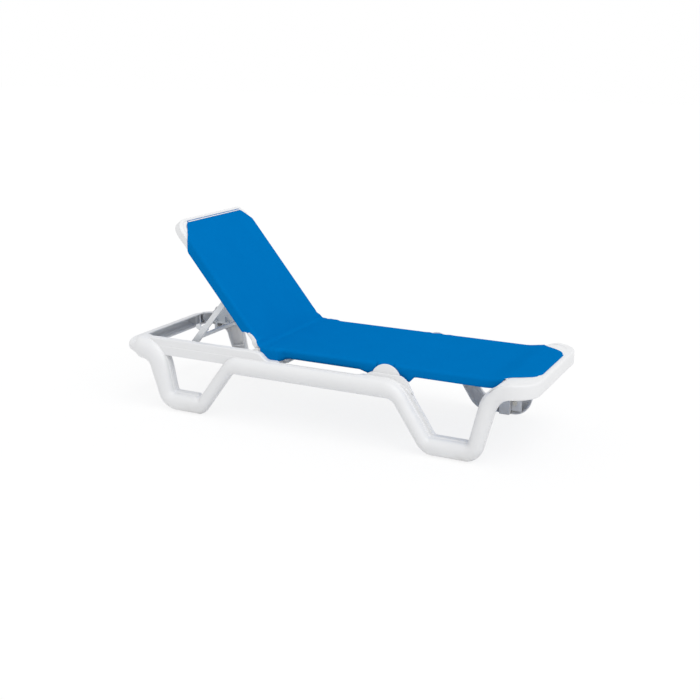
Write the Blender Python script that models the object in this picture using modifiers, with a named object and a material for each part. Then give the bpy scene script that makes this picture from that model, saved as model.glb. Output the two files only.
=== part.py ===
"""Sling chaise lounge. Two moulded side frames whose channel rises and falls as a wave between legs and rails
are joined by a head bar and a foot bar. A sling seat hangs between ears on the side frames, and a sling back turns
on the hinge ears, propped by a bracket whose pins drop into hooks on the head rails.

Metres, +Z up, +X towards the foot end, +Y from the near side to the far side, origin on the floor in the middle.
"""

import math

import bmesh
import bpy
import numpy as np
from mathutils import Matrix

# Overall sizes
LENGTH = 1.93
WIDTH = 0.71
CORNER_RADIUS = 0.12
SEAT_HEIGHT = 0.344
CLEARANCE = 0.0003
OVERRUN = 0.01
MERGE = 0.00001

# Side frame moulding: a channel open to the inside, with a rounded outer face and a flat flange behind it
TUBE_WIDTH = 0.083
FRAME_DEPTH = 0.062
BULGE_DEPTH = 0.030
FLANGE_STEP = 0.004
WALL = 0.005
HEAD_BAR_WIDTH = 0.055
FOOT_BAR_WIDTH = 0.062
RIDGE_RISE = 0.006
REST_GAP = 0.002
LEDGE_FLANGE_GAP = 0.0005
RIB_THICKNESS = 0.003
RIB_RECESS = 0.008
BULGE_POINTS = 9
TAPER_PIECES = 4
VOID_POINTS = 7
ARC_STEP = math.radians(13)
STRAIGHT_SLOPE = math.radians(4)

# Each bend of the wave: place along the half length, height over the seat height (none where it stands on the
# floor), fillet radius, and width before and after the bend, these three over the tube width
WAVE_SHARES = (
    (-0.938, 0.779, 1.20, 0.66, 0.72),
    (-0.811, 0.814, 1.14, 1.30, 1.20),
    (-0.7425, None, 0.69, 1.048, 1.048),
    (-0.5596, None, 0.60, 1.048, 0.77),
    (-0.4031, 0.731, 0.84, 0.77, 1.0),
    (0.4031, 0.731, 1.08, 1.0, 0.84),
    (0.5472, None, 0.66, 0.84, 1.0),
    (0.7565, None, 0.60, 1.0, 0.84),
)
FOOT_BEND_PLACE_SHARE = 0.827
FOOT_BEND_RADIUS_SHARE = 1.38
FOOT_BEND_WIDTH_SHARE = 0.87
LEDGE_START_SHARE = 0.835
LEDGE_FULL_SHARE = 0.885
RIB_PLACE_SHARES = (-0.86, -0.77, -0.70, -0.60, -0.49, -0.16, 0.0, 0.16, 0.49, 0.60, 0.71, 0.79, 0.93)

# Head rail: a straight channel over the head leg, moulded in one with the side frame
HEAD_RAIL_HEIGHT = 0.074
HEAD_RAIL_DROP = 0.019
HEAD_RAIL_STEP = 0.0015
HEAD_RAIL_ROUND = 0.006
HEAD_RAIL_INSET = 0.001
# Place along the half length, and how far the top has risen from the head bar (or the mid rail) to full height
HEAD_RAIL_RISE_SHARES = ((-1.02, 0.0), (-0.933, 0.0), (-0.896, 0.68), (-0.829, 1.0))
HEAD_RAIL_FALL_SHARES = ((-0.262, 1.0), (-0.226, 0.45), (-0.197, 0.0))

# Seat and back panels: sling over side rails
PANEL_SIDE_GAP = 0.077
PANEL_HALF_WIDTH = WIDTH / 2 - PANEL_SIDE_GAP
SLING_THICKNESS = 0.0025
PANEL_RAIL_WIDTH = 0.0325
PANEL_RAIL_HEIGHT = 0.0357
PANEL_RAIL_ROUND = 0.012
PANEL_RAIL_WALL = 0.0025
HINGE_X = -0.26
HINGE_DROP = 0.014
BACK_ANGLE = math.radians(50.5)
SEAT_SLING_FOOT_GAP = 0.0355
SEAT_SLING_FOOT_X = LENGTH / 2 - SEAT_SLING_FOOT_GAP
SEAT_RAIL_FOOT_INSET = 0.037
SEAT_RAIL_FOOT_X = SEAT_SLING_FOOT_X - SEAT_RAIL_FOOT_INSET
CREASE_SEAT_GAP = 0.0095
CREASE_BACK_GAP = 0.006
SLING_TUCK = 45
SLING_LIP = 0.016
RAIL_HINGE_GAP = 0.024
BACK_RAIL_END = 0.016

# Corner cuts of the slings, from the panel's outer corner
SEAT_CUT_LONG = 0.106
SEAT_CUT_SHORT = 0.031
SEAT_CUT_SIDE = 0.011
SEAT_CUT_FOOT = 0.09
SEAT_CUT_MIDDLE = 0.028
BACK_SLING_TOP = 0.634
BACK_CUT_LONG = 0.129
BACK_CUT_MIDDLE_LONG = 0.064
BACK_CUT_MIDDLE_SIDE = 0.010
BACK_CUT_SIDE = 0.056
BACK_HINGE_CUT = 0.07
BACK_LIP_INSET = 0.063
BACK_LIP_HALF = PANEL_HALF_WIDTH - BACK_LIP_INSET

# Ears that carry the seat rails and the hinge
EAR_RADIUS = 0.08
EAR_RISE = 0.005
EAR_HEIGHT = 0.122
EAR_THICKNESS = 0.0078
EAR_EDGE = 0.0015
MID_EAR_X = 0.325
EAR_BOSS_HALF = 0.045
EAR_BOSS_HEIGHT = 0.028
EAR_BOSS_ROUND = 0.010
HINGE_BOSS_HALF = 0.020
HINGE_BOSS_OFFSET = 0.042
EAR_CUT_MARGIN = 0.012
EAR_CUT_TOP = 0.006
EAR_BOLT_HALF_SPACING = 0.032
EAR_BOLT_HEIGHT = 0.020
EAR_STEPS = 20
EAR_BOLT_NAMES = ("hinge_ear_head", "hinge_ear_foot", "middle_ear_head", "middle_ear_foot")
PLATE_SCREW_NAMES = ("plate_head", "plate_foot")

# Fasteners
BOLT_RADIUS = 0.003
BOLT_HEAD_RADIUS = 0.0065
BOLT_HEAD_HEIGHT = 0.0035
BOLT_LENGTH = 0.018
BOLT_CLEARANCE = 0.0005
BOSS_RADIUS = 0.009
BOLT_STEPS = 10
BOLT_SHANK = 0.016
BOLT_CROWN_SHARE = 0.8

# Hinge pins
HINGE_PIN_RADIUS = 0.006
HINGE_PIN_HEAD_RADIUS = 0.011
HINGE_PIN_HEAD_HEIGHT = 0.004
PIN_CLEARANCE = 0.0005
PIN_STEPS = 16

# Cross bars under the panels
CROSS_BAR_WIDTH = 0.030
CROSS_BAR_HEIGHT = 0.023
CROSS_BAR_WALL = 0.002
CROSS_BAR_ROUND = 0.004
SEAT_HINGE_BAR_X = -0.145
SEAT_MID_BAR_X = 0.325
SEAT_FOOT_RAIL_WIDTH = 0.0335
SEAT_FOOT_RAIL_INSET = 0.038
SEAT_FOOT_RAIL_HALF = PANEL_HALF_WIDTH - SEAT_FOOT_RAIL_INSET
BACK_LOW_BAR_U = 0.075
BACK_MID_BAR_U = 0.40
BACK_BAR_WIDTH = 0.028
BACK_BAR_HEIGHT = 0.022

# Top of the back
BACK_LENGTH = 0.67
BACK_THICKNESS = 0.0392
BOW_MARGIN = 0.002
BOW_HALF_WIDTH = PANEL_HALF_WIDTH + BOW_MARGIN
BOW_WIDTH = 0.0355
BOW_CORNER_RADIUS = 0.062
BOW_ROUND = 0.012
BOW_LEG_START = 0.508
BOW_WALL = 0.003
BOW_STEPS = 7
TONGUE_LENGTH = 0.03
TONGUE_GAP = 0.0004
FRAME_TONGUE_GAP = 0.0012
FRAME_TONGUE_LENGTH = 0.022
TONGUE_PLUG = 0.012
TONGUE_PIECES = 3
TONGUE_RECESS = 0.012

# Support bracket and its ratchet: a plate with hooks on each head rail, from its head end
PLATE_HEAD_INSET = 0.083
PLATE_LENGTH = 0.326
PLATE_HEAD_X = PLATE_HEAD_INSET - LENGTH / 2
PLATE_FOOT_X = PLATE_HEAD_X + PLATE_LENGTH
REST_HOOK_ALONG = 0.224
SUPPORT_PIVOT_U = 0.27
SUPPORT_PIVOT_N = -0.03
RATCHET_PITCH = 0.066
RATCHET_REST_X = PLATE_HEAD_X + REST_HOOK_ALONG
RATCHET_PIN_HEIGHT = 0.265
RATCHET_HOOKS_SHARES = (-3, -2, -1, 0, 1)
ARM_THICKNESS = 0.009
ARM_WIDTH = 0.024
SHOE_WIDTH = 0.030
SHOE_THICKNESS = 0.016
SHOE_LENGTH = 0.1455
SHOE_END = 0.014
SHOE_ROUND = 0.004
KNOB_RADIUS = 0.0125
KNOB_ALONG = 0.121
KNOB_RISE = 0.0297
KNOB_THICKNESS = 0.010
KNOB_NECK = 0.009
KNOB_EDGE = 0.0015
KNOB_WRAP = 20
STRIP_WIDTH = 0.030
STRIP_THICKNESS = 0.007
STRIP_DROP = 0.0035
STRIP_ROUND = 0.002
LOW_STRIP_ALONG = 0.087
HIGH_STRIP_ALONG = 0.267
SUPPORT_PIN_RADIUS = 0.006
SUPPORT_PIN_GAP = 0.0005
SUPPORT_PIN_HEAD = 0.009
PIVOT_RADIUS = 0.004
PIVOT_HEAD_RADIUS = 0.008
PIVOT_HEAD_HEIGHT = 0.003
PIVOT_PEEN_RADIUS = 0.0052
PIVOT_PEEN_HEIGHT = 0.002
LUG_THICKNESS = 0.010
LUG_RADIUS = 0.016
LUG_GAP = 0.0015
LUG_INSET = 0.001
LUG_STEPS = 8
ARM_SOCKET = 0.03

# Ratchet plates
PLATE_THICKNESS = 0.003
PLATE_STEP = 0.001
PLATE_LOW = 0.246
PLATE_STEP_HEIGHT = 0.292
PLATE_TOP = 0.318
HOOK_REACH = 0.0127
HOOK_POCKET = 0.0075
HOOK_WALL = 0.004
HOOK_RISE = 0.020
HOOK_LIP = 0.002
HOOK_STEPS = 6
TAB_INSET = 0.022
TAB_X = PLATE_HEAD_X + TAB_INSET
TAB_WIDTH = 0.016
TAB_LOW = 0.207
PLATE_SCREW_INSET = 0.022
PLATE_SCREW_HEIGHT = 0.303
PLATE_SEAT_GAP = 0.0001

# Inside of the legs
LEG_BLOCK_START = 0.003
LEG_BLOCK_END = 0.051
LEG_BLOCK_HEIGHT = 0.067
LEG_WEB_END = 0.10
LEG_WEB_LOW = 0.018
LEG_WEB_TOP = 0.078
LEG_BLOCK_LOW = 0.002
LEG_BLOCK_INSET = 0.001
LEG_WEB_DEPTH = 0.036
LEG_WEB_THICKNESS = 0.003
LEG_PLUG_OFFSET = 0.068
LEG_PLUG_HEIGHT = 0.055
LEG_PLUG_RADIUS = 0.010
LEG_PLUG_DEPTH = 0.008

WHITE = (0.86, 0.87, 0.87, 1.0)
PALE_GREY = (0.62, 0.65, 0.67, 1.0)
STEEL = (0.60, 0.61, 0.62, 1.0)
BLUE = (0.0, 0.18, 0.51, 1.0)
CREAM = (0.80, 0.78, 0.70, 1.0)

HALF_LENGTH = LENGTH / 2
HALF_WIDTH = WIDTH / 2
CORNER_START = HALF_LENGTH - CORNER_RADIUS
SPLICE = CORNER_START + CORNER_RADIUS * math.pi / 2
BAR_SPAN = 2 * (HALF_WIDTH - CORNER_RADIUS)
LIP_Y = HALF_WIDTH - FRAME_DEPTH
PANEL_RAIL_TOP = SEAT_HEIGHT - SLING_THICKNESS - CLEARANCE
HEAD_BAR_TOP = PANEL_RAIL_TOP - BACK_THICKNESS - REST_GAP
HEAD_BAR_HEIGHT = HEAD_BAR_TOP - HEAD_BAR_WIDTH / 2
RIDGE_TOP = SEAT_HEIGHT + RIDGE_RISE
FOOT_BAR_HEIGHT = RIDGE_TOP - FOOT_BAR_WIDTH / 2
HEAD_RAIL_TOP = SEAT_HEIGHT - HEAD_RAIL_DROP
HEAD_RAIL_LOW = HEAD_RAIL_TOP - HEAD_RAIL_HEIGHT
PANEL_RAIL_OUTER = PANEL_HALF_WIDTH - SLING_THICKNESS - CLEARANCE
PANEL_RAIL_Y = PANEL_RAIL_OUTER - PANEL_RAIL_WIDTH / 2
PANEL_RAIL_LOW = PANEL_RAIL_TOP - PANEL_RAIL_HEIGHT
PANEL_RAIL_Z = PANEL_RAIL_TOP - PANEL_RAIL_HEIGHT / 2
LEDGE_DROP = RIDGE_TOP - PANEL_RAIL_LOW + CLEARANCE
HINGE_Z = SEAT_HEIGHT - HINGE_DROP
BOW_TOP = PANEL_RAIL_TOP - HINGE_Z
EAR_Y = LIP_Y - CLEARANCE - EAR_THICKNESS / 2
EAR_TOP = SEAT_HEIGHT + EAR_RISE
EAR_Z = EAR_TOP - EAR_RADIUS
EAR_LOW = EAR_TOP - EAR_HEIGHT
EAR_BOLT_Z = EAR_LOW + EAR_BOLT_HEIGHT
EAR_BOLT_SHIFTS = (-EAR_BOLT_HALF_SPACING, EAR_BOLT_HALF_SPACING)
MIRROR = np.array((1, -1, 1))
MID_RAIL_Z = WAVE_SHARES[4][1] * SEAT_HEIGHT
PLATE_FACE_Y = LIP_Y - CLEARANCE - PLATE_THICKNESS
PANEL_RAIL_INNER = PANEL_RAIL_OUTER - PANEL_RAIL_WIDTH
LUG_Y = PANEL_RAIL_INNER + LUG_INSET + LUG_THICKNESS / 2
ARM_Y = LUG_Y - LUG_THICKNESS / 2 - LUG_GAP - ARM_THICKNESS / 2
SHOE_INNER_Y = ARM_Y - SHOE_THICKNESS / 2
PIN_TIP_Y = PLATE_FACE_Y - HOOK_REACH - SUPPORT_PIN_GAP
LEG_CENTRES = {
    "foot": (WAVE_SHARES[6][0] + WAVE_SHARES[7][0]) / 2 * HALF_LENGTH,
    "head": (WAVE_SHARES[2][0] + WAVE_SHARES[3][0]) / 2 * HALF_LENGTH,
}
LEG_SIDES = {"foot": 1, "head": -1}


def support_geometry():
    """Length of the arms, and their slope at rest, from the pivot on the raised back to the pin in its hook."""
    pivot_x = HINGE_X - SUPPORT_PIVOT_U * math.cos(BACK_ANGLE) + SUPPORT_PIVOT_N * math.sin(BACK_ANGLE)
    pivot_z = HINGE_Z + SUPPORT_PIVOT_U * math.sin(BACK_ANGLE) + SUPPORT_PIVOT_N * math.cos(BACK_ANGLE)
    across = pivot_x - RATCHET_REST_X
    down = pivot_z - RATCHET_PIN_HEIGHT
    return math.hypot(across, down), math.atan2(down, across)


ARM_LENGTH, ARM_SLOPE = support_geometry()


def clear_scene():
    for obj in list(bpy.data.objects):
        bpy.data.objects.remove(obj, do_unlink=True)


def new_collection(name):
    collection = bpy.data.collections.new(name)
    bpy.context.scene.collection.children.link(collection)
    return collection


def finish_material(name, colour, roughness, metallic):
    material = bpy.data.materials.new(name)
    material.use_nodes = True
    shader = material.node_tree.nodes["Principled BSDF"]
    shader.inputs["Base Color"].default_value = colour
    shader.inputs["Roughness"].default_value = roughness
    shader.inputs["Metallic"].default_value = metallic
    material.diffuse_color = colour
    return material


clear_scene()
PARTS = new_collection("sling_chaise_lounge")
CUTTERS = new_collection("cutters")
CUTTERS.hide_render = True
RESIN = finish_material("white_resin", WHITE, 0.38, 0.0)
RESIN_GREY = finish_material("grey_resin", PALE_GREY, 0.45, 0.0)
COATED = finish_material("coated_metal", WHITE, 0.35, 0.0)
METAL = finish_material("steel", STEEL, 0.35, 1.0)
FABRIC = finish_material("sling_fabric", BLUE, 0.8, 0.0)
PLUG = finish_material("plug_plastic", CREAM, 0.5, 0.0)


def add_part(obj, name, material, parent=None):
    """Names an object, gives it its material and puts it among the parts, on its parent if it moves."""
    obj.name = name
    obj.data.name = name
    obj.data.materials.clear()
    obj.data.materials.append(material)
    PARTS.objects.link(obj)
    obj.parent = parent
    return obj


def add_cutter(obj, name):
    """Names an object and hides it among the cutters."""
    obj.name = name
    CUTTERS.objects.link(obj)
    obj.hide_render = True
    obj.display_type = "WIRE"
    return obj


def smooth(mesh):
    mesh.shade_smooth()
    mesh.set_sharp_from_angle(angle=math.radians(35))


def mesh_object(points, faces):
    """A mesh object whose faces point outwards."""
    mesh = bpy.data.meshes.new("piece")
    mesh.from_pydata([tuple(map(float, point)) for point in points], [], faces)
    work = bmesh.new()
    work.from_mesh(mesh)
    bmesh.ops.recalc_face_normals(work, faces=work.faces)
    work.to_mesh(mesh)
    work.free()
    smooth(mesh)
    return bpy.data.objects.new("piece", mesh)


def loft_faces(rings, first=0):
    """Faces through closed rings of equal size, with a cap at each end, counted from point number first."""
    count, size = rings.shape[:2]
    faces = []
    for ring in range(count - 1):
        for i in range(size):
            j = (i + 1) % size
            near, far = first + ring * size, first + (ring + 1) * size
            faces.append((near + i, near + j, far + j, far + i))
    faces.append(tuple(first + i for i in range(size)))
    faces.append(tuple(first + (count - 1) * size + i for i in range(size)))
    return faces


def loft(*pieces):
    """One mesh object of the closed solids through each piece's rings."""
    points, faces = [], []
    for rings in pieces:
        faces += loft_faces(rings, len(points))
        points += list(rings.reshape(-1, 3))
    return mesh_object(points, faces)


def boolean(obj, operation, other, crossing=False):
    modifier = obj.modifiers.new(other.name, "BOOLEAN")
    modifier.operation = operation
    modifier.solver = "EXACT"
    modifier.use_self = crossing
    modifier.object = other


def join(obj, other, name, crossing=False):
    """Unites another object with this one; crossing where the other's own pieces cross each other."""
    boolean(obj, "UNION", add_cutter(other, name), crossing)


def cut(obj, other, name, crossing=False):
    """Cuts another object away from this one."""
    boolean(obj, "DIFFERENCE", add_cutter(other, name), crossing)


def arc(centre, radius, start, end, steps):
    """Points round part of a circle, both ends included, angles in degrees."""
    angles = np.radians(np.linspace(start, end, steps + 1))
    return np.column_stack((centre[0] + radius * np.cos(angles), centre[1] + radius * np.sin(angles)))


def rounded_outline(width, height, radius, steps=2):
    """A rectangle about the origin with round corners, counter-clockwise."""
    x, y = width / 2 - radius, height / 2 - radius
    corners = ((x, y, 0), (-x, y, 90), (-x, -y, 180), (x, -y, 270))
    return np.vstack([arc((cx, cy), radius, start, start + 90, steps) for cx, cy, start in corners])


def flat_curve(outlines, thickness, edge=0.0):
    """A curve object filled between flat outlines, with rounded edges where asked."""
    curve = bpy.data.curves.new("outline", "CURVE")
    curve.dimensions = "2D"
    curve.fill_mode = "BOTH"
    curve.extrude = thickness / 2 - edge
    curve.bevel_depth = edge
    curve.bevel_resolution = 1
    curve.offset = -edge
    for outline in outlines:
        spline = curve.splines.new("POLY")
        spline.points.add(len(outline) - 1)
        for point, (x, y) in zip(spline.points, outline):
            point.co = (x, y, 0, 1)
        spline.use_cyclic_u = True
    return bpy.data.objects.new("outline", curve)


def evaluated_mesh(obj):
    """The mesh that an object shows, with the caps of a curve welded to its sides."""
    bpy.context.view_layer.update()
    graph = bpy.context.evaluated_depsgraph_get()
    mesh = bpy.data.meshes.new_from_object(obj.evaluated_get(graph))
    work = bmesh.new()
    work.from_mesh(mesh)
    bmesh.ops.remove_doubles(work, verts=work.verts, dist=MERGE)
    work.to_mesh(mesh)
    work.free()
    return mesh


def as_mesh(curve_object):
    """The mesh object of a curve object, in the curve's place."""
    bpy.context.scene.collection.objects.link(curve_object)
    obj = bpy.data.objects.new("piece", evaluated_mesh(curve_object))
    obj.matrix_world = curve_object.matrix_world
    bpy.data.objects.remove(curve_object)
    return obj


def far_copy(near):
    """The mirror image of a finished near piece, on the same parent."""
    mesh = evaluated_mesh(near)
    mesh.transform(Matrix.Diagonal((1, -1, 1, 1)) @ near.matrix_basis)
    mesh.flip_normals()
    smooth(mesh)
    name = near.name.replace("near", "far")
    return add_part(bpy.data.objects.new(name, mesh), name, near.data.materials[0], near.parent)


def upright(obj, y):
    """Turns a flat outline so that its plane is X and Z, at a place along Y."""
    obj.rotation_euler = (math.pi / 2, 0, 0)
    obj.location = (0, y, 0)
    return obj


def tube_along_x(obj, start, end, y, z):
    """Turns an outline drawn as (Y, Z) so that its thickness runs along X."""
    obj.rotation_euler = (math.pi / 2, 0, math.pi / 2)
    obj.location = ((start + end) / 2, y, z)
    return obj


def tube_along_y(obj, x, z):
    """Turns an outline drawn as (X, Z) so that its thickness runs along Y, about the middle."""
    obj.rotation_euler = (math.pi / 2, 0, 0)
    obj.location = (x, 0, z)
    return obj


def turned(profile, steps):
    """A solid turned about Z from a profile of (radius, height), from the top of the axis down to its foot."""
    mesh = bpy.data.meshes.new("turned")
    points = [(radius, 0, height) for radius, height in profile]
    mesh.from_pydata(points, [(i, i + 1) for i in range(len(points) - 1)], [])
    obj = bpy.data.objects.new("turned", mesh)
    screw = obj.modifiers.new("turn", "SCREW")
    screw.steps = steps
    screw.render_steps = steps
    screw.use_merge_vertices = True
    screw.merge_threshold = MERGE
    screw.use_smooth_shade = False
    return obj


def point_inwards(obj, x, y, z):
    """Turns a piece on the near side so that its +Z points to the middle."""
    obj.rotation_euler = (-math.pi / 2, 0, 0)
    obj.location = (x, y, z)
    return obj


def cylinder(radius, x, z, start, end, steps):
    """The two rings of a round rod along Y between two places."""
    angles = np.linspace(0, 2 * np.pi, steps, endpoint=False)
    ring = np.column_stack((x + radius * np.cos(angles), np.zeros(steps), z + radius * np.sin(angles)))
    rings = np.stack((ring, ring))
    rings[0, :, 1] = start
    rings[1, :, 1] = end
    return rings


def box(low, high):
    """The two rings of a box."""
    (x0, y0, z0), (x1, y1, z1) = low, high
    return np.array([[(x, y0, z0), (x, y1, z0), (x, y1, z1), (x, y0, z1)] for x in (x0, x1)])


def smoothstep(value):
    value = np.clip(value, 0, 1)
    return value * value * (3 - 2 * value)


def wave_bends():
    """The bends of the side frame as (place, height, fillet, width before, width after) in metres."""
    rows = [(-SPLICE, HEAD_BAR_HEIGHT, 0, HEAD_BAR_WIDTH, HEAD_BAR_WIDTH)]
    for place, height, fillet, before, after in WAVE_SHARES:
        on_floor = max(before, after) * TUBE_WIDTH / 2
        centre = on_floor if height is None else height * SEAT_HEIGHT
        rows.append((place * HALF_LENGTH, centre, fillet * TUBE_WIDTH, before * TUBE_WIDTH, after * TUBE_WIDTH))
    fillet = FOOT_BEND_RADIUS_SHARE * TUBE_WIDTH
    before = FOOT_BEND_WIDTH_SHARE * TUBE_WIDTH
    rows.append((FOOT_BEND_PLACE_SHARE * HALF_LENGTH, FOOT_BAR_HEIGHT, fillet, before, FOOT_BAR_WIDTH))
    rows.append((SPLICE, FOOT_BAR_HEIGHT, 0, FOOT_BAR_WIDTH, FOOT_BAR_WIDTH))
    return rows


def bend_stations(before, bend, after):
    """Points round one filleted bend, as (place, height, slope), first to last."""
    start_slope = math.atan2(bend[1] - before[1], bend[0] - before[0])
    end_slope = math.atan2(after[1] - bend[1], after[0] - bend[0])
    turn = end_slope - start_slope
    radius = bend[2]
    reach = radius * math.tan(abs(turn) / 2)
    side = math.copysign(radius, turn)
    centre_x = bend[0] - reach * math.cos(start_slope) - side * math.sin(start_slope)
    centre_z = bend[1] - reach * math.sin(start_slope) + side * math.cos(start_slope)
    steps = max(1, math.ceil(abs(turn) / ARC_STEP))
    slopes = start_slope + turn * np.arange(steps + 1) / steps
    return [(centre_x + side * math.sin(a), centre_z - side * math.cos(a), a) for a in slopes]


def wave_path():
    """Stations along the side frame's centre line: rows of (place, height, slope, width), head to foot."""
    bends = wave_bends()
    rows = [(*bends[0][:2], 0, bends[0][4])]
    for before, bend, after in zip(bends, bends[1:], bends[2:]):
        stations = bend_stations(before, bend, after)
        widths = [bend[3]] + [math.nan] * (len(stations) - 2) + [bend[4]]
        rows += [(*station, width) for station, width in zip(stations, widths)]
    rows.append((*bends[-1][:2], 0, bends[-1][3]))
    return fill_widths(divide_straights(np.array(rows)))


def divide_straights(rows):
    """Adds stations on the straight runs that taper or that go round a corner of the plan."""
    found = [rows[0]]
    for start, end in zip(rows, rows[1:]):
        length = math.hypot(end[0] - start[0], end[1] - start[1])
        in_corner = max(abs(start[0]), abs(end[0])) > CORNER_START
        tapers = start[3] != end[3] and not math.isnan(start[3]) and not math.isnan(end[3])
        straight = math.isclose(start[2], end[2], abs_tol=STRAIGHT_SLOPE)
        pieces = 1
        if straight and in_corner:
            pieces = math.ceil(length / (CORNER_RADIUS * ARC_STEP))
        elif straight and tapers:
            pieces = TAPER_PIECES
        for i in range(1, pieces):
            row = start + (end - start) * i / pieces
            row[3] = math.nan
            found.append(row)
        found.append(end)
    return np.array(found)


def fill_widths(rows):
    """Widths that pass smoothly from each set one to the next, by distance along the path."""
    steps = np.hypot(np.diff(rows[:, 0]), np.diff(rows[:, 1]))
    along = np.concatenate(([0], np.cumsum(steps)))
    keys = np.flatnonzero(~np.isnan(rows[:, 3]))
    for first, last in zip(keys, keys[1:]):
        share = (along[first:last] - along[first]) / max(along[last] - along[first], MERGE)
        rows[first:last, 3] = rows[first, 3] + (rows[last, 3] - rows[first, 3]) * smoothstep(share)
    return rows


def ledge_at(place):
    """How far the flange's upper edge drops below the ridge, near the foot end."""
    start, full = LEDGE_START_SHARE * HALF_LENGTH, LEDGE_FULL_SHARE * HALF_LENGTH
    return LEDGE_DROP * smoothstep((place - start) / (full - start))


def outer_section(width, ledge):
    """The channel's outside as (across, depth): flange, rounded face, and flange again less the ledge."""
    half = width / 2
    angles = np.linspace(-np.pi / 2, np.pi / 2, BULGE_POINTS)
    face = np.column_stack(((half - FLANGE_STEP) * np.sin(angles), BULGE_DEPTH * (1 - np.cos(angles))))
    back = BULGE_DEPTH + FLANGE_STEP
    low = [(-half, FRAME_DEPTH), (-half, back)]
    high = [(half, back), (half - ledge, back + LEDGE_FLANGE_GAP), (half - ledge, FRAME_DEPTH)]
    return np.vstack((low, face, high))


def inner_section(width, ledge, wall, end_depth):
    """The channel's hollow as (across, depth), a wall inside the outer section, up to the end depth."""
    half = width / 2
    angles = np.linspace(-np.pi / 2, np.pi / 2, VOID_POINTS)
    reach = half - FLANGE_STEP - wall
    face = np.column_stack((reach * np.sin(angles), BULGE_DEPTH - (BULGE_DEPTH - wall) * np.cos(angles)))
    back = BULGE_DEPTH + FLANGE_STEP
    low = [(wall - half, end_depth), (wall - half, back)]
    high = [(half - ledge - wall, back), (half - ledge - wall, end_depth)]
    return np.vstack((low, face, high))


def plan(place, depth):
    """X and Y on the near side, a depth inside the outer outline, at a place along the outline."""
    run = np.abs(place)
    turn = np.clip(run - CORNER_START, 0, SPLICE - CORNER_START) / CORNER_RADIUS
    radius = CORNER_RADIUS - depth
    x = np.sign(place) * (np.minimum(run, CORNER_START) + radius * np.sin(turn))
    y = np.maximum(run - SPLICE, 0) + CORNER_RADIUS - HALF_WIDTH - radius * np.cos(turn)
    return x, y


def in_world(place, height, depth):
    """Points of the near side from places, heights and depths of one shape."""
    x, y = plan(place, depth)
    return np.stack((x, y, height), axis=-1)


def swept(rows, section):
    """Rings through the world of a section carried along the stations."""
    rings = []
    for place, height, slope, width in rows:
        across, depth = section(width, ledge_at(place)).T
        rings.append(in_world(place - across * math.sin(slope), height + across * math.cos(slope), depth))
    return np.array(rings)


def channel_section(width, ledge):
    """The whole wall of the channel as one closed ring."""
    return np.vstack((outer_section(width, ledge), inner_section(width, ledge, WALL, FRAME_DEPTH)[::-1]))


def rib_section(width, ledge):
    return inner_section(width, ledge, WALL / 2, FRAME_DEPTH - RIB_RECESS)


def wave_ribs(rows):
    """Thin walls across the channel, square to its path."""
    ribs = []
    for share in RIB_PLACE_SHARES:
        place = share * HALF_LENGTH
        height, slope, width = (np.interp(place, rows[:, 0], rows[:, i]) for i in (1, 2, 3))
        shift = RIB_THICKNESS / 2 * np.array((-1, 1))
        pair = [(place + d * math.cos(slope), height + d * math.sin(slope), slope, width) for d in shift]
        ribs.append(swept(pair, rib_section))
    return ribs


def head_rail_top(place):
    """Height of the head rail's top along the frame."""
    places = [share * HALF_LENGTH for share, _ in HEAD_RAIL_RISE_SHARES + HEAD_RAIL_FALL_SHARES]
    rises = [HEAD_BAR_TOP + share * (HEAD_RAIL_TOP - HEAD_BAR_TOP) for _, share in HEAD_RAIL_RISE_SHARES]
    low = MID_RAIL_Z + TUBE_WIDTH / 2 - HEAD_RAIL_ROUND
    falls = [low + share * (HEAD_RAIL_TOP - low) for _, share in HEAD_RAIL_FALL_SHARES]
    return np.interp(place, places, rises + falls)


def head_rail_places():
    """Stations along the head rail, closer together round the corner of the plan."""
    start = HEAD_RAIL_RISE_SHARES[0][0] * HALF_LENGTH
    end = HEAD_RAIL_FALL_SHARES[-1][0] * HALF_LENGTH
    corner = np.arange(start, -CORNER_START, CORNER_RADIUS * ARC_STEP)
    shares = [share for share, _ in HEAD_RAIL_RISE_SHARES[2:] + HEAD_RAIL_FALL_SHARES[:-1]]
    kinks = [share * HALF_LENGTH for share in shares]
    return np.array(sorted({*corner, *kinks, end}))


def head_rail_rings():
    """The head rail's wall, open behind: its face has a small step half way up and a round upper edge."""
    front, step, round_edge = BULGE_DEPTH, HEAD_RAIL_STEP, HEAD_RAIL_ROUND
    back = FRAME_DEPTH - HEAD_RAIL_INSET
    rings = []
    for place in head_rail_places():
        low, top = HEAD_RAIL_LOW, head_rail_top(place)
        middle = (low + top) / 2
        edge = arc((top - round_edge, front + step + round_edge), round_edge, 270, 360, 2)
        face = [(low, back), (low, front + step), (low + step, front), (middle, front), (middle + step, front + step)]
        bed = front + step + WALL
        inside = [(top - WALL, back), (top - WALL, bed), (low + WALL, bed), (low + WALL, back)]
        section = np.vstack((face, edge, [(top, back)], inside))
        rings.append(in_world(np.full(len(section), place), section[:, 0], section[:, 1]))
    return np.array(rings)


def fixing_points():
    """(X, Z) of each screw boss on a side frame: two for each ear and two for the ratchet plate."""
    ears = [(x + shift, EAR_BOLT_Z) for x in (HINGE_X, MID_EAR_X) for shift in EAR_BOLT_SHIFTS]
    ends = (PLATE_HEAD_X + PLATE_SCREW_INSET, PLATE_FOOT_X - PLATE_SCREW_INSET)
    return ears, [(x, PLATE_SCREW_HEIGHT) for x in ends]



def near_y(depth):
    """Y on the near side at a depth inside the outer face."""
    return depth - HALF_WIDTH


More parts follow.
